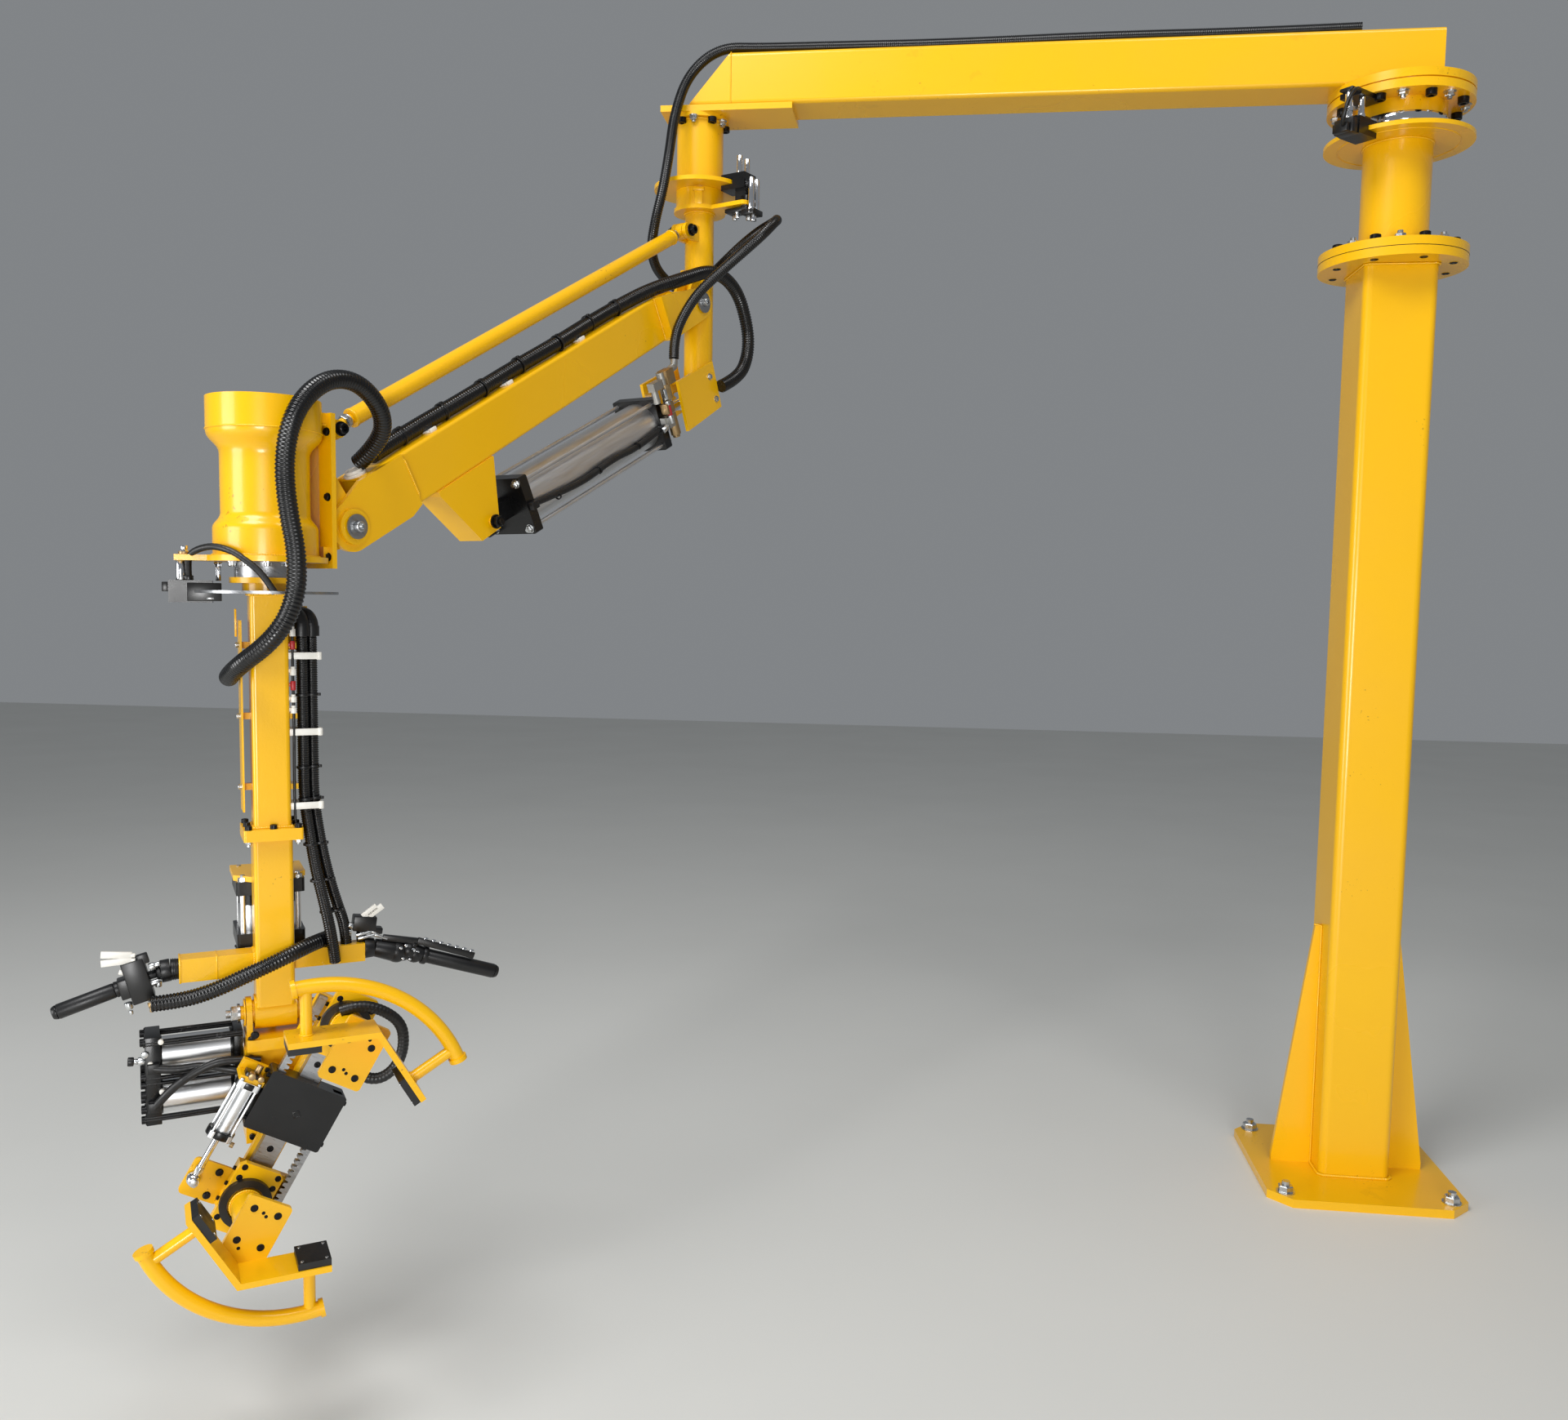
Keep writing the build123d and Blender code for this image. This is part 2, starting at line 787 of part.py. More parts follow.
# Tie rod above the beam, parallel to it, with a rod end at each pin
tie_start = wrist_frame_plane.from_local_coords(Vector(tie_pin_forward, 0, tie_pin_rise))
tie_plane = Plane(origin=tie_start, x_dir=-arm_x, z_dir=arm_z)
with BuildPart() as tie_rod:
    with BuildSketch(Plane.XZ):
        with Locations((0, 0), (arm_length, 0)):
            Circle(tie_eye_diameter / 2)
    extrude(amount=tie_eye_width / 2, both=True)
    with BuildSketch(Plane.YZ):
        Circle(tie_rod_neck / 2)
    extrude(amount=arm_length)
    with BuildSketch(Plane.YZ.offset(66)):
        Circle(tie_rod_diameter / 2)
    extrude(amount=arm_length - 132)
    with BuildSketch(Plane.XZ):
        with Locations((0, 0), (arm_length, 0)):
            Circle(tie_pin_diameter / 2 + pin_clearance)
    extrude(amount=tie_eye_width, both=True, mode=Mode.SUBTRACT)
finish(tie_rod, "tie_rod", tie_plane)

# Balance cylinder: barrel with four tie rods
cap_face = cap_head_from_pin
barrel_start = cap_face + cylinder_head_thickness
rod_face = cap_face + barrel_total
barrel_finish = rod_face - cylinder_head_thickness
with BuildPart() as cylinder_barrel:
    with BuildSketch(Plane.YZ.offset(barrel_start)):
        Circle(barrel_diameter / 2)
        Circle(barrel_bore / 2, mode=Mode.SUBTRACT)
        with GridLocations(2 * cylinder_tie_spread, 2 * cylinder_tie_spread, 2, 2):
            Circle(cylinder_tie_diameter / 2)
    extrude(amount=barrel_finish - barrel_start)
finish(cylinder_barrel, "cylinder_barrel", cylinder_frame)

# Cylinder heads: the cap end carries a tang for its pin, the rod end has a bore
with BuildPart() as cylinder_heads:
    with BuildSketch(Plane.YZ.offset(cap_face)):
        RectangleRounded(cylinder_head_size, cylinder_head_size, 6)
    extrude(amount=cylinder_head_thickness)
    with BuildSketch(Plane.YZ.offset(barrel_finish)):
        RectangleRounded(cylinder_head_size, cylinder_head_size, 6)
        Circle(piston_rod_diameter / 2 + pin_clearance, mode=Mode.SUBTRACT)
    extrude(amount=cylinder_head_thickness)
    with BuildSketch(Plane.XZ):
        Circle(28)
        with Locations((cap_face / 2, 0)):
            Rectangle(cap_face, 48)
        Circle(cap_pin_diameter / 2 + pin_clearance, mode=Mode.SUBTRACT)
    extrude(amount=tang_width / 2, both=True)
finish(cylinder_heads, "cylinder_heads", cylinder_frame)

# Valve column and elbow beside the rod-end head, held on it by a port block
with BuildPart() as cylinder_valve:
    valve_y = cylinder_head_size / 2 + 14
    port_x = rod_face - cylinder_head_thickness / 2
    with Locations((port_x, cylinder_head_size / 2 + 9, 0)):
        Box(24, 18, 34)
    with Locations((rod_face + 14, valve_y, -50)):
        Cylinder(13, 180)
    with Locations((rod_face, valve_y, 0)):
        Box(40, 26, 30)
    with Locations((rod_face - 22, valve_y, -112)):
        Box(46, 24, 24)
    with Locations((rod_face - 34, valve_y, -84)):
        Cylinder(10, 40)
    elbow_points = [
        cylinder_frame.to_local_coords(mast_frame.from_local_coords(Vector(*valve_hose_end) - Vector(0, 0, drop)))
        for drop in (1.6, 22)
    ]
    for start, end in (elbow_points, (elbow_points[1], Vector(rod_face + 14, valve_y, -126))):
        with BuildSketch(Plane(origin=start, z_dir=end - start)):
            Circle(11)
        extrude(amount=(end - start).length)
finish(cylinder_valve, "cylinder_valve", cylinder_frame)

# Piston rod with its eye between the mast's side plates
with BuildPart() as cylinder_rod:
    with BuildSketch(Plane.YZ.offset(rod_face - piston_depth)):
        Circle(barrel_bore / 2 - pin_clearance)
    extrude(amount=piston_thickness)
    with BuildSketch(Plane.YZ.offset(rod_face - piston_depth)):
        Circle(piston_rod_diameter / 2)
    extrude(amount=piston_depth + cylinder_length - rod_face - 10)
    with BuildSketch(Plane.XZ):
        with Locations((cylinder_length, 0)):
            Circle(rod_eye_diameter / 2)
    extrude(amount=rod_eye_width / 2, both=True)
finish(cylinder_rod, "cylinder_rod", cylinder_frame)

# Wrist housing: two reducers back to back, a hollow casting closed at its top
with BuildPart() as wrist_housing:
    with BuildSketch(Plane.XZ):
        with BuildLine():
            top_r = housing_top_radius
            waist_r = housing_waist_radius
            foot_r = housing_foot_radius
            Line((0, -housing_bottom), (foot_r, -housing_bottom))
            Line((foot_r, -housing_bottom), (foot_r, -18))
            Spline((foot_r, -18), (waist_r, 18), tangents=((0, 1), (0, 1)))
            Line((waist_r, 18), (waist_r, 138))
            Spline((waist_r, 138), (top_r, 190), tangents=((0, 1), (0, 1)))
            Line((top_r, 190), (top_r, housing_top))
            Line((top_r, housing_top), (0, housing_top))
            Line((0, housing_top), (0, -housing_bottom))
        make_face()
    revolve(axis=Axis.Z)
    with BuildSketch(Plane.XY.offset(-housing_bottom)):
        Circle(waist_r - housing_wall)
    extrude(amount=housing_top + housing_bottom - 12, mode=Mode.SUBTRACT)
housing_plane = Plane(wrist_frame_plane.location * Location((wrist_offset, 0, 0)))
finish(wrist_housing, "wrist_housing", housing_plane)

# Wrist frame: back plate, shelves, web, pivot boss, tie-rod lugs and the ear plate
with BuildPart() as wrist_frame:
    plate_back = back_plate_at + back_plate_thickness
    with BuildSketch(Plane.YZ.offset(back_plate_at)):
        with Locations((0, (back_plate_top - back_plate_bottom) / 2)):
            Rectangle(back_plate_width, back_plate_top + back_plate_bottom)
    extrude(amount=back_plate_thickness)
    with BuildSketch(Plane.XY.offset(back_plate_top - shelf_thickness)):
        with Locations(((plate_back + wrist_offset) / 2, 0)):
            Rectangle(wrist_offset - plate_back, shelf_width)
    extrude(amount=shelf_thickness)
    with BuildSketch(Plane.XY.offset(-housing_bottom)):
        with Locations(((plate_back + wrist_offset) / 2, 0)):
            Rectangle(wrist_offset - plate_back, shelf_width)
    extrude(amount=shelf_thickness)
    with BuildSketch(Plane.XZ):
        with Locations(((plate_back + wrist_offset) / 2, (back_plate_top - housing_bottom) / 2)):
            Rectangle(wrist_offset - plate_back, back_plate_top + housing_bottom)
    extrude(amount=6, both=True)
    with BuildSketch(Plane.XZ):
        with BuildLine():
            Polyline(
                (back_plate_at, 150),
                (back_plate_at, -60),
                (0, -wrist_boss_diameter / 2),
                (-20, 36),
                close=True,
            )
        make_face()
        Circle(wrist_boss_diameter / 2)
    extrude(amount=beam_width / 2 - side_gap, both=True)
    lug_pair(tie_pin_forward, tie_pin_rise, back_plate_at, tie_eye_width + 4, lug_thickness, lug_radius - 3)
    with BuildSketch(Plane.XZ):
        with Locations((tie_pin_forward, tie_pin_rise)):
            Circle(tie_pin_diameter / 2)
    extrude(amount=tie_eye_width / 2 + 2 + lug_thickness + 8, both=True)
    with BuildSketch(Plane.XZ):
        Circle(pin_diameter / 2 + pin_clearance)
    extrude(amount=beam_width, both=True, mode=Mode.SUBTRACT)
    with BuildSketch(Plane.XY.offset(-housing_bottom)):
        with Locations((wrist_offset, 0)):
            Circle(housing_top_radius)
    extrude(amount=housing_top + housing_bottom, mode=Mode.SUBTRACT)
    with BuildSketch(Plane.XY.offset(ear_bottom)):
        with Locations((wrist_offset, 0)):
            Circle(ear_plate_diameter / 2)
        with Locations(Location((wrist_offset, 0, 0), (0, 0, ear_3_turn))):
            with Locations((ear_3_length / 2, 0)):
                Rectangle(ear_3_length, ear_3_width)
    extrude(amount=ear_plate_thickness)
finish(wrist_frame, "wrist_frame", wrist_frame_plane)

# Third caliper, hung from the ear plate
with BuildPart() as slew_3_caliper:
    caliper_body(disc_3_diameter / 2, disc_3_top, disc_3_thickness, ear_bottom)
caliper_3_plane = Plane(housing_plane.location * Location((0, 0, 0), (0, 0, ear_3_turn)))
finish(slew_3_caliper, "slew_3_caliper", caliper_3_plane)

# Third swivel: bearing ring and bright brake disc
with BuildPart() as slew_3_disc:
    with BuildSketch(Plane.XY.offset(top_flange_top)):
        Circle(bearing_3_diameter / 2)
        Circle(bearing_3_diameter / 4, mode=Mode.SUBTRACT)
    extrude(amount=bearing_3_height)
    with BuildSketch(Plane.XY.offset(tool_tube_top)):
        Circle(disc_3_diameter / 2)
        Circle(disc_3_bore / 2, mode=Mode.SUBTRACT)
    extrude(amount=disc_3_thickness)
finish(slew_3_disc, "slew_3_disc", tool_frame)

# Tool tube: top flange, hub, square tube and lower flange
with BuildPart() as tool_tube:
    with BuildSketch(Plane.XY.offset(hub_3_top)):
        Circle(top_flange_diameter / 2)
    extrude(amount=top_flange_thickness)
    with BuildSketch(Plane.XY.offset(disc_3_top)):
        Circle(hub_3_diameter / 2)
    extrude(amount=hub_3_height)
    with BuildSketch(Plane.XY.offset(tool_tube_top)):
        Circle(disc_3_bore / 2 - pin_clearance)
    extrude(amount=disc_3_thickness)
    with BuildSketch(Plane.XY.offset(tool_flange_top)):
        RectangleRounded(tool_tube_size, tool_tube_size, 9)
    extrude(amount=tool_tube_length)
    with BuildSketch(Plane.XY.offset(joint_face)):
        RectangleRounded(tool_flange_size, tool_flange_size, 5)
    extrude(amount=tool_flange_thickness)
    with BuildSketch(Plane.XY.offset(joint_face)):
        Circle(tool_flange_hole / 2)
    extrude(amount=tool_flange_thickness, mode=Mode.SUBTRACT)
    with BuildSketch(Plane.XY.offset(tool_flange_top)):
        Rectangle(tool_tube_size - 2 * tool_tube_wall, tool_tube_size - 2 * tool_tube_wall)
    extrude(amount=tool_tube_length - 12, mode=Mode.SUBTRACT)
finish(tool_tube, "tool_tube", tool_frame)

# Lower tube: flange, tube, tilt sleeve and the plate that carries the tilt cylinder
with BuildPart() as tool_lower_tube:
    with BuildSketch(Plane.XY.offset(lower_tube_top)):
        RectangleRounded(tool_flange_size, tool_flange_size, 5)
    extrude(amount=tool_flange_thickness)
    with BuildSketch(Plane.XY.offset(tilt_axis_height + 18)):
        RectangleRounded(lower_tube_size, lower_tube_size, 9)
    extrude(amount=lower_tube_length - 18)
    with BuildSketch(Plane.YZ):
        with Locations((0, tilt_axis_height)):
            Circle(sleeve_diameter / 2)
    extrude(amount=sleeve_length / 2, both=True)
    with BuildSketch(Plane.XY.offset(tilt_axis_height + sleeve_diameter / 2 + 8)):
        Rectangle(lower_tube_size - 2 * tool_tube_wall, lower_tube_size - 2 * tool_tube_wall)
    extrude(amount=lower_tube_length - sleeve_diameter / 2 - 8, mode=Mode.SUBTRACT)
    with BuildSketch(Plane.XY.offset(lower_tube_top)):
        Circle(tool_flange_hole / 2)
    extrude(amount=tool_flange_thickness, mode=Mode.SUBTRACT)
    with BuildSketch(Plane.XY.offset(tilt_plate_top - tilt_plate_thickness)):
        with BuildLine():
            half = tilt_plate_size / 2
            near = lower_tube_size / 2 - 4
            Polyline(
                (-half, near + 34),
                (-lower_tube_size / 2, near),
                (lower_tube_size / 2, near),
                (half, near + 34),
                (half, tilt_cylinder_back + half),
                (-half, tilt_cylinder_back + half),
                close=True,
            )
        make_face()
    extrude(amount=tilt_plate_thickness)
    with BuildSketch(Plane.YZ):
        with Locations((0, tilt_axis_height)):
            Circle(tilt_pin_diameter / 2 + pin_clearance)
    extrude(amount=sleeve_length, both=True, mode=Mode.SUBTRACT)
finish(tool_lower_tube, "tool_lower_tube", tool_frame)

# Tilt cylinder behind the lower tube
with BuildPart() as tilt_cylinder:
    with BuildSketch(Plane.XY.offset(tilt_head_top)):
        with Locations((0, tilt_cylinder_back)):
            RectangleRounded(tilt_head_size, tilt_head_size, 6)
    extrude(amount=-tilt_head_thickness)
    barrel_low = tilt_head_top - tilt_head_thickness - tilt_barrel_length
    with BuildSketch(Plane.XY.offset(barrel_low)):
        with Locations((0, tilt_cylinder_back)):
            Circle(tilt_barrel_diameter / 2)
    extrude(amount=tilt_barrel_length)
    with BuildSketch(Plane.XY.offset(barrel_low)):
        with Locations((0, tilt_cylinder_back)):
            RectangleRounded(tilt_head_size, tilt_head_size, 6)
    extrude(amount=-tilt_head_thickness)
    with BuildSketch(Plane.XY.offset(barrel_low - tilt_head_thickness)):
        with Locations((0, tilt_cylinder_back)):
            Circle(tilt_rod_diameter / 2 + pin_clearance)
    extrude(amount=tilt_head_thickness + tilt_barrel_length - 6, mode=Mode.SUBTRACT)
finish(tilt_cylinder, "tilt_cylinder", tool_frame)

# Tilt rod and clevis
lever_y = lever_radius * cos(radians(lever_rest_angle))
lever_z = tilt_axis_height + lever_radius * sin(radians(lever_rest_angle))
tilt_cylinder_foot = barrel_low - tilt_head_thickness
with BuildPart() as tilt_rod:
    with BuildSketch(Plane.XY.offset(lever_z + 37)):
        with Locations((0, tilt_cylinder_back)):
            Circle(tilt_rod_diameter / 2)
    extrude(amount=tilt_cylinder_foot + 80 - lever_z - 37)
    with BuildSketch(Plane.XY.offset(lever_z + 25)):
        with Locations((0, tilt_cylinder_back)):
            Rectangle(clevis_gap + 2 * clevis_plate, 34)
    extrude(amount=12)
    for side in (-1, 1):
        with BuildSketch(Plane.YZ.offset(side * clevis_gap / 2)):
            with Locations((tilt_cylinder_back, lever_z)):
                Circle(17)
            with Locations((tilt_cylinder_back, lever_z + 13)):
                Rectangle(34, 26)
        extrude(amount=side * clevis_plate)
    with BuildSketch(Plane.YZ):
        with Locations((tilt_cylinder_back, lever_z)):
            Circle(lever_pin_diameter / 2)
    extrude(amount=clevis_gap / 2 + clevis_plate + 4, both=True)
finish(tilt_rod, "tilt_rod", tool_frame)

# Tilt head: pin, cheeks, base plate and the lever behind
with BuildPart() as tilt_head:
    with BuildSketch(Plane.XY.offset(head_plate_bottom)):
        with Locations((0, (head_plate_back - head_plate_front) / 2)):
            Rectangle(head_plate_width, head_plate_back + head_plate_front)
    extrude(amount=head_plate_thickness)
    for side in (-1, 1):
        with BuildSketch(Plane.YZ.offset(side * tilt_cheek_inside)):
            with Locations((0, tilt_axis_height)):
                Circle(tilt_cheek_radius)
            with Locations((0, (tilt_axis_height + head_plate_top) / 2)):
                Rectangle(2 * tilt_cheek_radius, head_plate_below)
        extrude(amount=side * tilt_cheek_thickness)
        with BuildSketch(Plane.YZ.offset(side * tilt_cheek_inside)):
            with Locations((0, tilt_axis_height)):
                Circle(26)
        extrude(amount=side * (sleeve_length / 2 + running_gap - tilt_cheek_inside))
    with BuildSketch(Plane.YZ):
        with Locations((0, tilt_axis_height)):
            Circle(tilt_pin_diameter / 2)
    extrude(amount=tilt_cheek_inside + tilt_cheek_thickness + 14, both=True)
    with BuildSketch(Plane.YZ):
        with BuildLine():
            Polyline(
                (head_plate_back - 30, head_plate_bottom),
                (head_plate_back - 4, head_plate_top + 2),
                (lever_y - 22, lever_z),
                (lever_y + 22, lever_z),
                (lever_y + 12, lever_z - 44),
                (head_plate_back + 6, head_plate_bottom),
                close=True,
            )
        make_face()
        with Locations((lever_y, lever_z)):
            Circle(22)
        with Locations((lever_y, lever_z)):
            Circle(lever_pin_diameter / 2 + lever_pin_clearance, mode=Mode.SUBTRACT)
    extrude(amount=lever_thickness / 2, both=True)
finish(tilt_head, "tilt_head", tool_frame)

# Rotary actuator under the head plate, with its shaft flange
actuator_bottom = roll_height - roll_block_height / 2
with BuildPart() as roll_actuator:
    with BuildSketch(Plane.XY.offset(actuator_bottom)):
        with Locations(((actuator_right - actuator_left) / 2, 0)):
            Rectangle(actuator_right + actuator_left, actuator_depth)
    extrude(amount=head_plate_bottom - actuator_bottom)
    with BuildSketch(Plane.XZ.offset(actuator_depth / 2)):
        with Locations((roll_offset, roll_height)):
            Circle(shaft_flange_diameter / 2 - 6)
    extrude(amount=gripper_forward - actuator_depth / 2 - 8 - running_gap)
finish(roll_actuator, "roll_actuator", tool_frame)

# Twin cylinders that drive the actuator, joined by a block at their ends
with BuildPart() as roll_cylinders:
    middle = roll_height + roll_cylinder_rise
    with BuildSketch(Plane.YZ.offset(-actuator_left)):
        for side in (-1, 1):
            with Locations((roll_cylinder_back, middle + side * roll_cylinder_spacing / 2)):
                Circle(roll_cylinder_diameter / 2)
    extrude(amount=-roll_cylinder_length)
    with BuildSketch(Plane.YZ.offset(-actuator_left - roll_cylinder_length)):
        with Locations((roll_cylinder_back, middle)):
            RectangleRounded(roll_block_depth, roll_block_height, 6)
    extrude(amount=-roll_block_length)
finish(roll_cylinders, "roll_cylinders", tool_frame)

# Gripper bar with the flange that bolts to the actuator's shaft and the cylinder's bracket
bar_front = bar_thickness
with BuildPart() as gripper_bar:
    with BuildSketch():
        Rectangle(bar_length, bar_width)
    extrude(amount=bar_thickness)
    with BuildSketch():
        Circle(shaft_flange_diameter / 2)
    extrude(amount=-8)
    with BuildSketch():
        with Locations((jaw_bracket_at, (jaw_cylinder_side + 26) / 2)):
            Rectangle(30, jaw_cylinder_side + 26)
    extrude(amount=bar_thickness - running_gap)
    with BuildSketch():
        with Locations((jaw_bracket_at - 10, jaw_cylinder_side)):
            Rectangle(10, 52)
    extrude(amount=64)
finish(gripper_bar, "gripper_bar", gripper_frame)

# Linear rail with its row of counterbored holes
rail_top = bar_front + rail_height
with BuildPart() as gripper_rail:
    with BuildSketch(Plane.XY.offset(bar_front)):
        Rectangle(bar_length, rail_width)
    extrude(amount=rail_height)
    with BuildSketch(Plane.XY.offset(rail_top)):
        with GridLocations(rail_hole_pitch, 1, 5, 1):
            Circle(rail_hole / 2)
    extrude(amount=-14, mode=Mode.SUBTRACT)
finish(gripper_rail, "gripper_rail", gripper_frame)

# Block over the middle of the rail: it houses the pinion between the two racks
rack_low = bar_front + 28
block_top = bar_front + block_height
with BuildPart() as gripper_block:
    with BuildSketch(Plane.XY.offset(bar_front)):
        RectangleRounded(block_length, block_width, 6)
    extrude(amount=block_height)
    with BuildSketch(Plane.XY.offset(bar_front)):
        Rectangle(block_length, rail_width)
    extrude(amount=rail_height, mode=Mode.SUBTRACT)
    for side in (-1, 1):
        with BuildSketch(Plane.XY.offset(rack_low - slot_clearance)):
            with Locations((0, side * rack_side)):
                Rectangle(block_length, rack_width + 2 * slot_clearance)
        extrude(amount=rack_thickness + 2 * slot_clearance, mode=Mode.SUBTRACT)
finish(gripper_block, "gripper_block", gripper_frame)

# Air cylinder that drives the lower jaw
jaw_cylinder_height = 46
with BuildPart() as jaw_cylinder:
    top_cap = jaw_cylinder_top + 17
    with BuildSketch(Plane.YZ.offset(top_cap)):
        with Locations((jaw_cylinder_side, jaw_cylinder_height)):
            RectangleRounded(jaw_cap_size, jaw_cap_size, 8)
    extrude(amount=-jaw_cap_thickness)
    with BuildSketch(Plane.YZ.offset(top_cap - jaw_cap_thickness)):
        with Locations((jaw_cylinder_side, jaw_cylinder_height)):
            Circle(jaw_cylinder_diameter / 2)
    extrude(amount=-jaw_cylinder_length)
    cap_low = top_cap - jaw_cap_thickness - jaw_cylinder_length
    with BuildSketch(Plane.YZ.offset(cap_low)):
        with Locations((jaw_cylinder_side, jaw_cylinder_height)):
            RectangleRounded(jaw_cap_size, jaw_cap_size, 8)
    extrude(amount=-jaw_cap_thickness)
    with BuildSketch(Plane.YZ.offset(cap_low - jaw_cap_thickness)):
        with Locations((jaw_cylinder_side, jaw_cylinder_height)):
            Circle(jaw_rod_diameter / 2 + pin_clearance)
    extrude(amount=jaw_cap_thickness + jaw_cylinder_length, mode=Mode.SUBTRACT)
finish(jaw_cylinder, "jaw_cylinder", gripper_frame)

# Jaws: the two are alike, each modelled with x pointing away from the gripper's middle
carriage_top = rail_top + running_gap + 18
jaw_face = carriage_top + jaw_plate_thickness
front_plate_low = jaw_face + jaw_arm_length
vee_low = front_plate_low + front_plate_thickness
guard_centre = vee_vertex + guard_apex - guard_radius


def jaw_carriage(name, frame, wing_side):
    with BuildPart() as carriage:
        with BuildSketch(Plane.XY.offset(carriage_top - carriage_height)):
            with Locations((carriage_start + carriage_length / 2, 0)):
                Rectangle(carriage_length, carriage_width)
        extrude(amount=carriage_height)
        with BuildSketch(Plane.XY.offset(carriage_top - carriage_height)):
            with Locations((carriage_start + carriage_length / 2, 0)):
                Rectangle(carriage_length, rail_width + 2 * running_gap)
        extrude(amount=rail_top + running_gap - carriage_top + carriage_height, mode=Mode.SUBTRACT)
        with BuildSketch(Plane.XY.offset(carriage_top - carriage_height)):
            with Locations((carriage_start + carriage_length / 2, carriage_width / 2 + 12)):
                Rectangle(carriage_length, 32)
        extrude(amount=rack_low - carriage_top + carriage_height)
        if wing_side:
            with BuildSketch(Plane.XY.offset(carriage_top - carriage_height)):
                with Locations((wing_start + wing_length / 2, wing_side * wing_reach / 2 + wing_side * 20)):
                    RectangleRounded(wing_length, wing_reach - 40, 10)
            extrude(amount=wing_thickness)
    finish(carriage, name + "_carriage", frame)


def jaw_rack(name, frame, side):
    """Toothed rack beside the rail; its teeth face the pinion in the block."""
    with BuildPart() as rack:
        length = rack_outer_end + rack_inner_end
        with BuildSketch(Plane.XY.offset(rack_low)):
            with Locations(((rack_outer_end - rack_inner_end) / 2, side * rack_side)):
                Rectangle(length, rack_width)
            count = int((length - 40) / tooth_pitch)
            root = side * (rack_side - rack_width / 2)
            for tooth in range(count):
                gap_x = -rack_inner_end + 10 + tooth * tooth_pitch
                with BuildLine():
                    Polyline(
                        (gap_x, root),
                        (gap_x + tooth_pitch * 0.55, root),
                        (gap_x + tooth_pitch * 0.38, root + side * tooth_depth),
                        (gap_x + tooth_pitch * 0.17, root + side * tooth_depth),
                        close=True,
                    )
                make_face(mode=Mode.SUBTRACT)
        extrude(amount=rack_thickness)
    finish(rack, name + "_rack", frame)


def jaw_pads(name, frame):
    with BuildPart() as pads:
        for side in (-1, 1):
            leg_x = cos(radians(vee_angle))
            leg_y = side * sin(radians(vee_angle))
            with BuildSketch(Plane.XY.offset(vee_low + (vee_width - pad_width) / 2)):
                with BuildLine():
                    near = vee_leg - pad_length
                    inner = (-leg_y * side, leg_x * side)
                    base = (vee_vertex, 0)
                    a = (base[0] - leg_x * near, leg_y * near)
                    b = (base[0] - leg_x * vee_leg, leg_y * vee_leg)
                    normal = (-abs(leg_y), -side * leg_x)
                    c = (b[0] + normal[0] * pad_thickness, b[1] + normal[1] * pad_thickness)
                    d = (a[0] + normal[0] * pad_thickness, a[1] + normal[1] * pad_thickness)
                    Polyline(a, b, c, d, close=True)
                make_face()
            extrude(amount=pad_width)
    finish(pads, name + "_pads", frame)


def jaw_frame(name, frame):
    """Jaw weldment: bolted plate, round arm, front plate, vee and its guard tube."""
    with BuildPart() as jaw:
        with BuildSketch(Plane.XY.offset(carriage_top)) as plate_outline:
            with Locations((jaw_plate_start + jaw_plate_length / 2, 0)):
                Rectangle(jaw_plate_length, jaw_plate_width)
            chamfer(plate_outline.vertices(), 10)
        extrude(amount=jaw_plate_thickness)
        with BuildSketch(Plane.XY.offset(jaw_face)):
            with Locations((jaw_arm_at, 0)):
                Circle(jaw_arm_diameter / 2)
        extrude(amount=jaw_arm_length)
        with BuildSketch(Plane.XY.offset(front_plate_low)):
            with Locations(((front_plate_start + vee_vertex) / 2, 0)):
                RectangleRounded(vee_vertex - front_plate_start + 10, front_plate_width, 8)
        extrude(amount=front_plate_thickness)
        with BuildSketch(Plane.XY.offset(vee_low)):
            for side in (-1, 1):
                leg_x = cos(radians(vee_angle))
                leg_y = sin(radians(vee_angle))
                thick_x = vee_thickness / leg_y
                with BuildLine():
                    Polyline(
                        (vee_vertex, 0),
                        (vee_vertex - leg_x * vee_leg, side * leg_y * vee_leg),
                        (
                            vee_vertex - leg_x * vee_leg + vee_thickness * leg_y,
                            side * (leg_y * vee_leg + vee_thickness * leg_x),
                        ),
                        (vee_vertex + thick_x, 0),
                        close=True,
                    )
                make_face()
        extrude(amount=vee_width)
        guard_plane = Plane.XY.offset(vee_low + vee_width / 2)
        half = radians(guard_half_angle)
        start = (guard_centre + guard_radius * cos(half), -guard_radius * sin(half))
        with BuildLine(guard_plane):
            arc = CenterArc((guard_centre, 0), guard_radius, -guard_half_angle, 2 * guard_half_angle)
        with BuildSketch(Plane(origin=arc @ 0, z_dir=arc % 0)):
            Circle(guard_diameter / 2)
        sweep(path=arc)
        for end, way in ((0, 1), (1, -1)):
            with BuildSketch(Plane(origin=arc @ end, z_dir=(arc % end) * way)):
                Circle(guard_end_diameter / 2)
            extrude(amount=guard_end_length)
        for side in (-1, 1):
            leg_point = Vector(
                vee_vertex - strut_at * cos(radians(vee_angle)) + vee_thickness * sin(radians(vee_angle)),
                side * (strut_at * sin(radians(vee_angle)) + vee_thickness * cos(radians(vee_angle))),
                vee_low + vee_width / 2,
            )
            normal = Vector(sin(radians(vee_angle)), side * cos(radians(vee_angle)), 0)
            offset = leg_point - Vector(guard_centre, 0, leg_point.Z)
            reach = -offset.dot(normal) + (offset.dot(normal) ** 2 - offset.dot(offset) + guard_radius**2) ** 0.5
            with BuildSketch(Plane(origin=leg_point - normal * 2, z_dir=normal)):
                Circle(strut_diameter / 2)
            extrude(amount=reach + 2)
    finish(jaw, name + "_frame", frame)


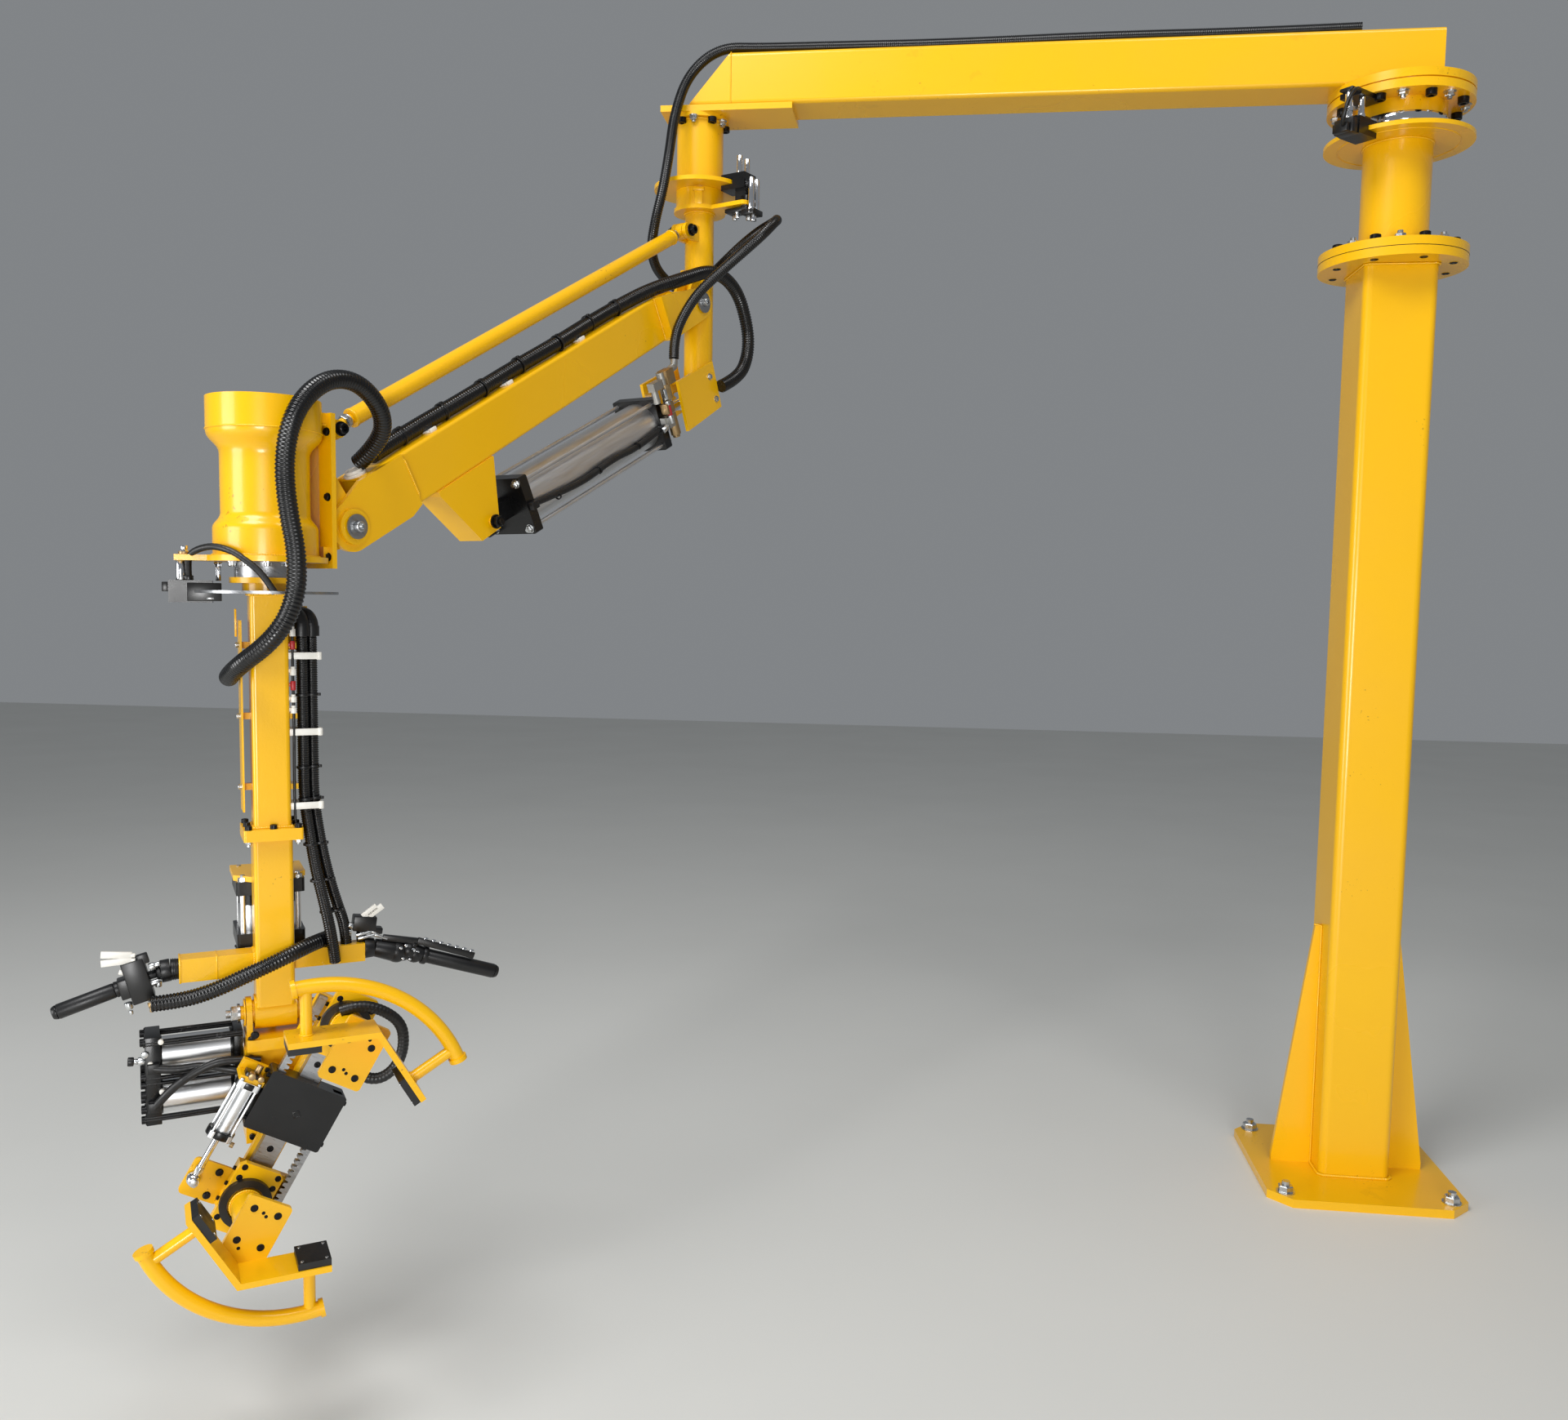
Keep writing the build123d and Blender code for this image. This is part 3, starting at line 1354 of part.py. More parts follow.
def jaw_ring(name, frame):
    """Rubber ring round the jaw's arm, against the bolted plate."""
    with BuildPart() as ring:
        with BuildSketch(Plane.XY.offset(jaw_face)):
            with Locations((jaw_arm_at, 0)):
                Circle(ring_radius)
                Circle(ring_radius - ring_width, mode=Mode.SUBTRACT)
        extrude(amount=ring_height)
    finish(ring, name + "_ring", frame)


for jaw_name, jaw_plane, rack_turn, wing in (
    ("upper_jaw", gripper_frame, 1, 0),
    ("lower_jaw", lower_jaw_frame_plane, 1, -1),
):
    jaw_carriage(jaw_name, jaw_plane, wing)
    jaw_rack(jaw_name, jaw_plane, rack_turn)
    jaw_pads(jaw_name, jaw_plane)
    jaw_frame(jaw_name, jaw_plane)
    jaw_ring(jaw_name, jaw_plane)

# Rod of the jaw cylinder, with the ball end bolted to the lower jaw's wing
rod_end_x = -(wing_start + wing_length / 2)
wing_top = carriage_top - carriage_height + wing_thickness
with BuildPart() as jaw_rod:
    with BuildSketch(Plane.YZ.offset(rod_end_x + 8)):
        with Locations((jaw_cylinder_side, jaw_cylinder_height)):
            Circle(jaw_rod_diameter / 2)
    extrude(amount=cap_low + 34 - rod_end_x - 8)
    with Locations((rod_end_x, jaw_cylinder_side, jaw_cylinder_height)):
        Sphere(14)
    with BuildSketch(Plane.XY.offset(wing_top)):
        with Locations((rod_end_x, jaw_cylinder_side)):
            Circle(9)
    extrude(amount=jaw_cylinder_height + 20 - wing_top)
finish(jaw_rod, "jaw_rod", gripper_frame)

# Tray on the tool tube's left side, and the blocks that carry straps on both sides
with BuildPart() as tool_trays:
    with Locations((-tool_tube_size / 2 - 18, 8, tool_tube_top - 262)):
        Box(4, 62, 410)
    for drop in (110, 262, 415):
        with Locations((-tool_tube_size / 2 - 8, 8, tool_tube_top - drop)):
            Box(16, 14, 14)
        with Locations((tool_tube_size / 2 + 8, -4, tool_tube_top - drop)):
            Box(16, 44, 12)
finish(tool_trays, "tool_trays", tool_frame)

# Arms of the two handles
with BuildPart() as handle_arms:
    left_plane = Plane(origin=(-lower_tube_size / 2, 0, -handle_drop), x_dir=(0, 1, 0), z_dir=(-1, 0, 0))
    with BuildSketch(left_plane):
        Rectangle(left_arm_size, left_arm_size)
    extrude(amount=left_arm_length)
    right_plane = Plane(origin=(lower_tube_size / 2, 0, -handle_drop), x_dir=(0, 1, 0), z_dir=(1, 0, 0))
    with BuildSketch(right_plane):
        Rectangle(right_arm_size, right_arm_size)
    extrude(amount=right_arm_length)
finish(handle_arms, "handle_arms", tool_frame)

# Valve boxes and grips
with BuildPart() as handle_controls:
    left_end = -lower_tube_size / 2 - left_arm_length
    with Locations((left_end - 20, 0, -handle_drop)):
        Cylinder(21, 40, rotation=(0, 90, 0))
    with Locations((left_end - 40 - 34, 0, -handle_drop - 26)):
        Box(68, 44, 118)
    left_grip = Plane(origin=(left_end - 100, 0, -handle_drop - 30), z_dir=(-1, 0, -0.31))
    with BuildSketch(left_grip):
        Circle(grip_diameter / 2)
    extrude(amount=grip_length)
    right_end = lower_tube_size / 2 + right_arm_length
    with Locations((right_end + 40, 0, -handle_drop + 6)):
        Box(80, 44, 44)
    right_grip = Plane(origin=(right_end + 70, 0, -handle_drop - 12), z_dir=(1, 0, -0.27))
    with BuildSketch(right_grip):
        Circle(grip_diameter / 2)
    extrude(amount=grip_length + 90)
finish(handle_controls, "handle_controls", tool_frame)



def hose(route, diameter, frame=Plane.XY):
    """Solid hose: straight runs joined by tangent arcs that use 0.45 of the shorter run."""
    corners = [Vector(*point) for point in route]
    radii = []
    for before, corner, after in zip(corners, corners[1:], corners[2:]):
        turn = radians((corner - before).get_angle(after - corner))
        run = min((corner - before).length, (after - corner).length)
        radii.append(0.45 * run / tan(turn / 2))
    with BuildPart() as body:
        with BuildLine() as path:
            FilletPolyline(*corners, radius=radii)
        with BuildSketch(Plane(origin=path.line @ 0, z_dir=path.line % 0)):
            Circle(diameter / 2)
        sweep(path=path.line)
    run_length = sum(edge.length for edge in path.line.edges())
    expected = pi * diameter**2 / 4 * run_length
    bends = " ".join(f"{radius:.0f}" for radius in radii)
    print(f"hose {diameter} mm: bends {bends} mm, volume {body.part.volume / expected:.4f} of section x length")
    return frame.location * body.part


def finish_hoses(label, pieces):
    """Label the hoses that share a node and write their file."""
    node = pieces[0] if len(pieces) == 1 else Compound(children=pieces)
    node.label = label
    export_step(node, f"parts/{label}.step")


# Supply hose along the boom's top, over its nose and down behind the mast
boom_top = boom_bottom + boom_size
on_boom = boom_top + boom_hose_diameter / 2 + hose_lift
boom_route = [
    (-130, -44, on_boom),
    (-430, -36, on_boom),
    (-850, -48, on_boom),
    (-1280, -36, on_boom),
    (-1640, -48, on_boom),
    (-1850, -44, on_boom + 4),
    (-1974, -50, on_boom + 8),
    (-2062, -80, 3290),
    (-2096, -120, 3160),
    (-2104, -148, 3040),
    (-2120, -160, 2930),
    (-2150, -142, 2835),
    (-2174, -82, 2765),
    (-2162, 0, 2716),
    (-2122, 66, 2694),
]
finish_hoses("boom_hose", [hose(boom_route, boom_hose_diameter)])

# Hose from behind the mast, out in a loop and down to the cylinder's valve
loop_route = [
    (-92, -30, -232),
    (-84, 66, -170),
    (-70, 168, -122),
    (-30, 262, -112),
    (44, 312, -132),
    (112, 300, -196),
    (160, 222, -276),
    (196, 140, -352),
    (220, 96, -430),
    (238, 84, -496),
    valve_hose_end,
]
finish_hoses("valve_hose", [hose(loop_route, loop_hose_diameter, mast_frame)])

# Hose along the arm's top, round the main pivot and back to the bracket at the mast's foot
on_beam = beam_lift + beam_depth / 2 + arm_hose_diameter / 2 + hose_lift
arm_route = [
    (1338, 8, on_beam + 2),
    (1190, -8, on_beam),
    (1000, 8, on_beam + 2),
    (810, -8, on_beam),
    (620, 8, on_beam + 2),
    (430, -8, on_beam),
    (290, 6, on_beam + 2),
    (180, 26, on_beam + 2),
    (66, 64, 92),
    (-74, 88, 75),
    (-165, 90, -16),
    (-165, 90, -144),
    (-126, 88, -218),
    (-50, 86, -258),
    (53, 84, -246),
]
finish_hoses("arm_hose", [hose(arm_route, arm_hose_diameter, arm_frame)])

# Hose from the arm's end over the wrist and down to the tool tube's side cover
tray_face = -(tool_tube_size / 2 + 20)
beside_tray = tray_face - arm_hose_diameter / 2 - hose_lift / 2
before_tray = wrist_frame_plane.to_local_coords(tool_frame.from_local_coords(Vector(beside_tray, -86, -312)))
end_on_tray = wrist_frame_plane.to_local_coords(tool_frame.from_local_coords(Vector(beside_tray, 26, -332)))
wrist_route = [
    (-55, 6, 148),
    (-64, 72, 194),
    (-32, 118, 250),
    (44, 140, 300),
    (122, 146, 304),
    (198, 158, 262),
    (246, 162, 196),
    (260, 158, 110),
    (252, 158, 20),
    (242, 172, -70),
    (250, 178, -160),
    (276, 148, -240),
    (before_tray.X, before_tray.Y, before_tray.Z),
    (end_on_tray.X, end_on_tray.Y, end_on_tray.Z),
]
finish_hoses("wrist_hose", [hose(wrist_route, arm_hose_diameter, wrist_frame_plane)])

# Hoses strapped to the tool tube's side, and the one that crosses to the left handle
beside_block = tool_tube_size / 2 + 16 + tool_hose_diameter / 2 + hose_lift / 2
beside_hose = beside_block + 21
near_route = [
    (beside_block, -10, -206),
    (beside_block, -14, -300),
    (beside_block, -10, -400),
    (beside_block, -14, -500),
    (beside_block, -10, -590),
    (75.5, -14, -668),
    (86, -26, -750),
    (103, -38, -830),
    (116, -43, -900),
    (124, -33, -962),
]
far_route = [
    (beside_hose, 4.5, -206),
    (beside_hose, 0.5, -300),
    (beside_hose, 4.5, -400),
    (beside_hose, 0.5, -500),
    (beside_hose, 4.5, -590),
    (96.5, 0.5, -668),
    (110, -8, -750),
    (130, -14, -830),
    (150, -2, -890),
    (152, 0, -929.7),
]
handle_route = [
    (120, 2, -913.6),
    (84, -30, -914),
    (40, -66, -922),
    (-20, -84, -942),
    (-66, -76, -962),
    (-126, -62, -990),
    (-186, -46, -1008),
    (-244, -39.4, -1010),
]
tool_pieces = [
    hose(near_route, tool_hose_diameter, tool_frame),
    hose(far_route, tool_hose_diameter, tool_frame),
    hose(handle_route, handle_hose_diameter, tool_frame),
]
finish_hoses("tool_hoses", tool_pieces)

# Thin air hose along the balance cylinder, from its valve to the cap end
cylinder_route = [
    (713, 75.7, 10.6),
    (600, 72.2, 24.9),
    (470, 75.5, 12),
    (345, 72.7, 23.6),
    (230, 75, 14.6),
    (129, 76.4, 2.7),
]
finish_hoses("cylinder_hose", [hose(cylinder_route, cylinder_hose_diameter, cylinder_frame)])

# Hoses from the twin cylinders' end block over the actuator
over_actuator = -(actuator_depth / 2 + cylinder_hose_diameter / 2 + hose_lift)
block_front = roll_cylinder_back - (roll_block_depth / 2 + cylinder_hose_diameter / 2 + hose_lift)
upper_head_route = [
    (-243, block_front, -1152),
    (-205, block_front - 5, -1160),
    (-150, block_front - 3, -1157),
    (-98, over_actuator - 1, -1166),
    (-50, over_actuator, -1180),
    (-8, over_actuator, -1190),
]
lower_head_route = [
    (-243, block_front, -1236),
    (-218, block_front - 6, -1206),
    (-182, block_front - 24, -1172),
    (-128, block_front - 28, -1146),
    (-82, over_actuator - 3, -1146),
    (-36, over_actuator - 1, -1156),
]
head_pieces = [
    hose(upper_head_route, cylinder_hose_diameter, tool_frame),
    hose(lower_head_route, cylinder_hose_diameter, tool_frame),
]
finish_hoses("head_hoses", head_pieces)

# Pivots in metres, for the record
for pivot_name, point in (
    ("arm pivot", arm_origin),
    ("upper tie pin", mast_frame.from_local_coords(Vector(tie_x, 0, tie_z))),
    ("wrist pivot", wrist_origin),
    ("cap pin", cap_pin),
    ("rod pin", rod_pin),
    ("tool axis", tool_origin),
    ("tilt axis", tool_frame.from_local_coords(Vector(0, 0, tilt_axis_height))),
    ("roll centre", roll_origin),
    ("cylinder axis", cylinder_x * 1000),
    ("rail axis", rail_direction * 1000),
):
    print(f"{pivot_name}: {point.X / 1000:.5f} {point.Y / 1000:.5f} {point.Z / 1000:.5f}")
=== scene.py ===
import json
import math
import bpy
import bmesh
from mathutils import Matrix, Vector


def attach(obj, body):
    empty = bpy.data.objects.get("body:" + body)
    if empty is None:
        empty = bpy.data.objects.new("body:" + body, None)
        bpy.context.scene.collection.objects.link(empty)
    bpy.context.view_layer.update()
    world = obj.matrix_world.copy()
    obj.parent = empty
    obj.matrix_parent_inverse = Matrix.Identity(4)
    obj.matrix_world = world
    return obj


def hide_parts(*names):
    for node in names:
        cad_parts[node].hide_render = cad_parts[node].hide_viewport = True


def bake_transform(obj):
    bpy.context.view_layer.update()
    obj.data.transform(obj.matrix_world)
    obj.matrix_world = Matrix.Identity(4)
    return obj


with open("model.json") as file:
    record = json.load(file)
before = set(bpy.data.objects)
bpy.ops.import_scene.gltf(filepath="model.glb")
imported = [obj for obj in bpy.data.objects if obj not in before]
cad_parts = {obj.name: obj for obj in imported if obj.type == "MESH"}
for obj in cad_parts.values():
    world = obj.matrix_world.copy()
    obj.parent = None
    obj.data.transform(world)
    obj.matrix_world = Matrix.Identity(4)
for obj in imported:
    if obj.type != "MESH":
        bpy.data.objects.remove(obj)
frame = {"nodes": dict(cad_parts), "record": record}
nodes = frame["nodes"]


def writeSize():
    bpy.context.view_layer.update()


writeSize()

# Camera at the photograph's place and angle
view = {
    "place": (-1.2525, -4.0692, 1.7260),
    "yaw": -7.04,
    "pitch": 4.84,
    "roll": -0.87,
    "lens": 30.0,
    "sensor": 36.0,
}


def addCamera(s):
    yaw, pitch, roll = (math.radians(s[k]) for k in ("yaw", "pitch", "roll"))
    ahead = Vector((math.sin(yaw) * math.cos(pitch), math.cos(yaw) * math.cos(pitch), -math.sin(pitch)))
    right = Vector((math.cos(yaw), -math.sin(yaw), 0))
    down = ahead.cross(right)
    rolled = right * math.cos(roll) + down * math.sin(roll)
    rolledDown = down * math.cos(roll) - right * math.sin(roll)
    data = bpy.data.cameras.new("camera")
    data.lens = s["lens"]
    data.sensor_width = s["sensor"]
    data.sensor_fit = "HORIZONTAL"
    camera = bpy.data.objects.new("camera", data)
    bpy.context.scene.collection.objects.link(camera)
    turn = Matrix((rolled, -rolledDown, -ahead)).transposed().to_4x4()
    camera.matrix_world = Matrix.Translation(s["place"]) @ turn
    bpy.context.scene.camera = camera


addCamera(view)
print("camera placed")


def levelDirection(degrees):
    return (math.cos(math.radians(degrees)), math.sin(math.radians(degrees)), 0)


def frameAt(origin, along, upwards):
    x, z = Vector(along).normalized(), Vector(upwards).normalized()
    turn = Matrix((x, z.cross(x), z)).transposed().to_4x4()
    return Matrix.Translation(origin) @ turn


# The sub-assemblies' own frames at rest: origins in metres, angles as in the CAD
mastAt = (-2.04, 0, 2.9663)
wristAt = (-2.62108, -1.24613, 1.87311)
toolAt = (-2.70011, -1.41560, 1.87311)
gripperAt = (-2.63787, -1.46435, 0.62611)
straightUp = (0, 0, 1)
armHeading = levelDirection(245)
armSlope = math.radians(29.7)
toolHeading = levelDirection(33.5)
rollLean = math.radians(30)
railAlong = Vector((
    math.sin(rollLean) * toolHeading[0],
    math.sin(rollLean) * toolHeading[1],
    math.cos(rollLean),
))
gripperFront = (toolHeading[1], -toolHeading[0], 0)
armAlong = Vector((
    armHeading[0] * math.cos(armSlope),
    armHeading[1] * math.cos(armSlope),
    -math.sin(armSlope),
))
cylinderAlong = Vector((0.37936, 0.81354, 0.44072))
cylinderUp = cylinderAlong.cross(Vector((-armHeading[1], armHeading[0], 0)))
frames = {
    "column": frameAt((0, 0, 0), (1, 0, 0), straightUp),
    "mast": frameAt(mastAt, armHeading, straightUp),
    "arm": frameAt(
        (-2.07043, -0.06525, 2.61630),
        armAlong,
        (armHeading[0] * math.sin(armSlope), armHeading[1] * math.sin(armSlope), math.cos(armSlope)),
    ),
    "wrist": frameAt(wristAt, armHeading, straightUp),
    "tool": frameAt(toolAt, toolHeading, straightUp),
    "cylinder": frameAt((-2.43304, -0.84287, 1.91047), cylinderAlong, cylinderUp),
    "gripper": frameAt(gripperAt, railAlong, gripperFront),
    "lowerJaw": frameAt(gripperAt, -railAlong, gripperFront),
}
frames["boom"] = frames["column"]
frames["upperJaw"] = frames["gripper"]
# the three brakes' frames look out from the post, the drop pipe and the tool tube
for brakeName, origin, degrees in (("brake1", (0, 0, 0), 222), ("brake2", mastAt, 335), ("brake3", toolAt, 209)):
    frames[brakeName] = frameAt(origin, levelDirection(degrees), straightUp)
wristLug = {"ahead": 0.015, "above": 0.215}  # the tie rod's pin, from the wrist's
tieRodAt = Vector(wristAt) + Vector(armHeading) * wristLug["ahead"] + Vector((0, 0, wristLug["above"]))
frames["tie"] = frameAt(tieRodAt, -armAlong, frames["arm"].to_3x3() @ Vector(straightUp))
bodyFrame = {
    # the frame in which a body's pieces are drawn, unless a piece names another
    "column": "column", "boom": "boom", "mast": "mast", "arm": "arm", "tie_rod": "tie", "barrel": "cylinder",
    "rod": "cylinder", "wrist": "wrist", "tool_mast": "tool", "tilt_head": "tool", "gripper": "gripper",
    "lower_jaw": "lowerJaw", "upper_jaw": "upperJaw",
}


def spot(frameName, x, y, z):
    # a point in millimetres in a named frame, as metres in the row frame
    return frames[frameName] @ (Vector((x, y, z)) / 1000)


def heading(frameName, x, y, z):
    return (frames[frameName].to_3x3() @ Vector((x, y, z))).normalized()


def hexColour(text):
    # linear colour from an sRGB hex code
    out = []
    for k in (0, 2, 4):
        v = int(text[k:k + 2], 16) / 255
        out.append(v / 12.92 if v <= 0.04045 else ((v + 0.055) / 1.055) ** 2.4)
    return (*out, 1.0)


def addNode(tree, kind, inputs=None, **settings):
    # one node with its settings; an input's value is a constant or another node's output
    node = tree.nodes.new(kind)
    for key, value in settings.items():
        setattr(node, key, value)
    for key, value in (inputs or {}).items():
        if isinstance(value, bpy.types.NodeSocket):
            tree.links.new(value, node.inputs[key])
        else:
            node.inputs[key].default_value = value
    return node


def perMetre(millimetres):
    # a noise scale from the real size of its pattern
    return 1000 / millimetres


def addWear(tree, place, colour, s):
    # sparse chips and scuffs: where coarse and fine noise are both high
    coarse = addNode(tree, "ShaderNodeTexNoise", {"Vector": place, "Scale": perMetre(s["patchMm"]), "Detail": 2.0})
    fine = addNode(tree, "ShaderNodeTexNoise", {"Vector": place, "Scale": perMetre(s["chipMm"]), "Detail": 3.0})
    both = addNode(tree, "ShaderNodeMath", {0: coarse.outputs["Fac"], 1: fine.outputs["Fac"]}, operation="MULTIPLY")
    mask = addNode(tree, "ShaderNodeMapRange", {
        "Value": both.outputs[0], "From Min": s["from"], "From Max": s["from"] + 0.02,  # a hard edge round each chip
        "To Min": 0.0, "To Max": s["strength"],
    })
    mixed = addNode(tree, "ShaderNodeMix", {
        "Factor": mask.outputs[0], "A": colour, "B": hexColour(s["colour"]),
    }, data_type="RGBA")
    return mixed.outputs["Result"]


def makeFinish(name, s):
    # colour that varies over a large noise, fine bump, and wear or machining marks where given
    material = bpy.data.materials.new(name)
    material.use_nodes = True
    tree = material.node_tree
    shader = tree.nodes["Principled BSDF"]
    place = addNode(tree, "ShaderNodeTexCoord").outputs["Object"]
    marks = place
    if "grain" in s:
        turn = Vector(s["grain"]["along"]).to_track_quat("X", "Z").inverted().to_euler()
        turned = addNode(tree, "ShaderNodeMapping", {"Vector": place, "Rotation": turn})
        stretched = addNode(tree, "ShaderNodeMapping", {"Vector": turned.outputs[0], "Scale": s["grain"]["scale"]})
        marks = stretched.outputs[0]
    mottle = addNode(tree, "ShaderNodeTexNoise", {"Vector": marks, "Scale": perMetre(s["mottleMm"]), "Detail": 3.0})
    tint = addNode(tree, "ShaderNodeMix", {
        "Factor": mottle.outputs["Fac"], "A": hexColour(s["colour"]), "B": hexColour(s["second"]),
    }, data_type="RGBA")
    colour = tint.outputs["Result"]
    for wear in s.get("wear", ()):
        colour = addWear(tree, place, colour, wear)
    tree.links.new(colour, shader.inputs["Base Color"])
    spread = addNode(tree, "ShaderNodeMapRange", {
        "Value": mottle.outputs["Fac"], "From Min": 0.3, "From Max": 0.7,  # where most of the noise lies
        "To Min": s["rough"] - s["roughSpread"], "To Max": s["rough"] + s["roughSpread"],
    })
    tree.links.new(spread.outputs[0], shader.inputs["Roughness"])
    relief = addNode(tree, "ShaderNodeTexNoise", {"Vector": marks, "Scale": perMetre(s["bumpMm"]), "Detail": 2.0})
    bump = addNode(tree, "ShaderNodeBump", {
        "Height": relief.outputs["Fac"], "Strength": s["bumpStrength"],
        "Distance": s["bumpMm"] / 4000,  # a quarter of its width, in metres
    })
    tree.links.new(bump.outputs[0], shader.inputs["Normal"])
    shader.inputs["Metallic"].default_value = s.get("metal", 0.0)
    shader.inputs["Coat Weight"].default_value = s.get("coat", 0.0)
    shader.inputs["Coat Roughness"].default_value = s.get("coatRough", 0.08)
    if "ior" in s:
        shader.inputs["IOR"].default_value = s["ior"]
    material.diffuse_color = hexColour(s["colour"])
    return material


finishes = {
    # polyester powder coat, sprayed and baked: even deep gloss with a fine orange peel, few scuffs and chips
    "powderCoatYellow": {
        "colour": "F2BA00", "second": "E9AE00", "mottleMm": 420, "rough": 0.30, "roughSpread": 0.05,
        "bumpMm": 5, "bumpStrength": 0.10, "coat": 0.30, "coatRough": 0.10, "ior": 1.45,
        "wear": (
            {"patchMm": 260, "chipMm": 9, "from": 0.435, "strength": 0.6, "colour": "9A6A14"},
            {"patchMm": 900, "chipMm": 60, "from": 0.40, "strength": 0.15, "colour": "BC8608"},
        ),
    },
    # satin black powder coat on machined blocks: low gloss, slightly grainy, rubbed lighter in places
    "powderCoatBlack": {
        "colour": "050506", "second": "0B0B0C", "mottleMm": 60, "rough": 0.30, "roughSpread": 0.05,
        "bumpMm": 3, "bumpStrength": 0.10, "coat": 0.05, "ior": 1.45,
        "wear": ({"patchMm": 90, "chipMm": 6, "from": 0.42, "strength": 0.5, "colour": "5A5A5E"},),
    },
    # black anodised aluminium on valve bodies: fine satin, faintly brown where it has been handled
    "anodisedBlack": {
        "colour": "060607", "second": "0D0C0C", "mottleMm": 30, "rough": 0.33, "roughSpread": 0.05,
        "bumpMm": 2, "bumpStrength": 0.08, "ior": 1.55,
    },
    # drawn stainless barrel, polished along its length: bright bands with long fine lines
    "drawnStainlessBarrel": {
        "colour": "CFCFD0", "second": "E2E2E3", "mottleMm": 90, "rough": 0.40, "roughSpread": 0.05,
        "bumpMm": 160, "bumpStrength": 0.03, "metal": 1.0,
        "grain": {"along": tuple(cylinderAlong), "scale": (1, 14, 14)},
        "wear": ({"patchMm": 120, "chipMm": 16, "from": 0.41, "strength": 0.4, "colour": "8E8F92"},),
    },
    # drawn stainless tube of the small cylinders: bright with soft lines
    "drawnStainlessTube": {
        "colour": "DADBDC", "second": "ECEDEE", "mottleMm": 120, "rough": 0.33, "roughSpread": 0.04,
        "bumpMm": 160, "bumpStrength": 0.02, "metal": 1.0,
        "grain": {"along": toolHeading, "scale": (1, 6, 6)},
    },
    # ground bearing steel: grey, fine lines across the rail, slightly oily
    "groundSteel": {
        "colour": "96989B", "second": "B3B4B6", "mottleMm": 24, "rough": 0.34, "roughSpread": 0.08,
        "bumpMm": 10, "bumpStrength": 0.10, "metal": 1.0,
        "grain": {"along": tuple(railAlong), "scale": (8, 1, 1)},
        "wear": ({"patchMm": 50, "chipMm": 8, "from": 0.40, "strength": 0.5, "colour": "5E5248"},),
    },
    # hard chrome on rods: mirror bright
    "hardChrome": {
        "colour": "DADCE0", "second": "E8E9EC", "mottleMm": 50, "rough": 0.10, "roughSpread": 0.03,
        "bumpMm": 8, "bumpStrength": 0.02, "metal": 1.0,
    },
    # zinc plated steel fasteners: pale silver, slightly cloudy
    "zincPlate": {
        "colour": "B9BCC0", "second": "D3D4D2", "mottleMm": 10, "rough": 0.30, "roughSpread": 0.10,
        "bumpMm": 2, "bumpStrength": 0.10, "metal": 1.0,
    },
    # black oxide fasteners: dark oily steel
    "blackOxide": {
        "colour": "101011", "second": "1B1B1D", "mottleMm": 8, "rough": 0.33, "roughSpread": 0.10,
        "bumpMm": 2, "bumpStrength": 0.12, "metal": 0.6,
    },
    # turned brass fittings: warm, dulled yellow
    "turnedBrass": {
        "colour": "A58A62", "second": "BCA27A", "mottleMm": 9, "rough": 0.40, "roughSpread": 0.08,
        "bumpMm": 1.5, "bumpStrength": 0.10, "metal": 1.0,
    },
    # moulded nylon hose, corrugated: black with a soft sheen on the ribs
    "corrugatedNylon": {
        "colour": "040405", "second": "09090A", "mottleMm": 45, "rough": 0.24, "roughSpread": 0.05,
        "bumpMm": 3, "bumpStrength": 0.08, "ior": 1.53,
    },
    # nitrile rubber hose and pads: deep black, matt, dusty in patches
    "nitrileRubber": {
        "colour": "070708", "second": "0E0D0D", "mottleMm": 26, "rough": 0.42, "roughSpread": 0.10,
        "bumpMm": 2, "bumpStrength": 0.25, "ior": 1.52,
    },
    # moulded black plastic of grips and boxes: satin with a fine texture
    "mouldedPlastic": {
        "colour": "09090A", "second": "111113", "mottleMm": 30, "rough": 0.38, "roughSpread": 0.06,
        "bumpMm": 1.5, "bumpStrength": 0.30, "ior": 1.5,
    },
    # moulded white nylon straps and tags: slightly translucent cream white
    "whiteNylon": {
        "colour": "EDEBE4", "second": "E2DFD6", "mottleMm": 20, "rough": 0.40, "roughSpread": 0.06,
        "bumpMm": 2, "bumpStrength": 0.10, "ior": 1.53,
    },
    # polyurethane push-in sleeves: clear red plastic
    "redSleeve": {
        "colour": "B3262A", "second": "9E1F24", "mottleMm": 10, "rough": 0.35, "roughSpread": 0.05,
        "bumpMm": 2, "bumpStrength": 0.05,
    },
    # cast aluminium bodies: pale grey, fine sand texture
    "castAluminium": {
        "colour": "A9A8A4", "second": "C2C1BC", "mottleMm": 12, "rough": 0.42, "roughSpread": 0.10,
        "bumpMm": 2, "bumpStrength": 0.3, "metal": 1.0,
    },
}
materials = {name: makeFinish(name, s) for name, s in finishes.items()}
slotFinish = {
    "yellow_paint": "powderCoatYellow",
    "black_paint": "powderCoatBlack",
    "stainless": "drawnStainlessTube",
    "steel": "groundSteel",
    "chrome": "hardChrome",
    "aluminium": "castAluminium",
    "black_plastic": "mouldedPlastic",
    "rubber": "nitrileRubber",
}
nodeFinish = {
    "cylinder_barrel": "drawnStainlessBarrel", "cylinder_rod": "hardChrome", "slew_1_bearing": "powderCoatYellow",
}
for part in frame["record"]["subparts"]:
    node = nodes[part["node"]]
    node.data.materials.clear()
    node.data.materials.append(materials[nodeFinish.get(part["node"], slotFinish[part["material_slot"]])])
print("finishes on the CAD nodes")


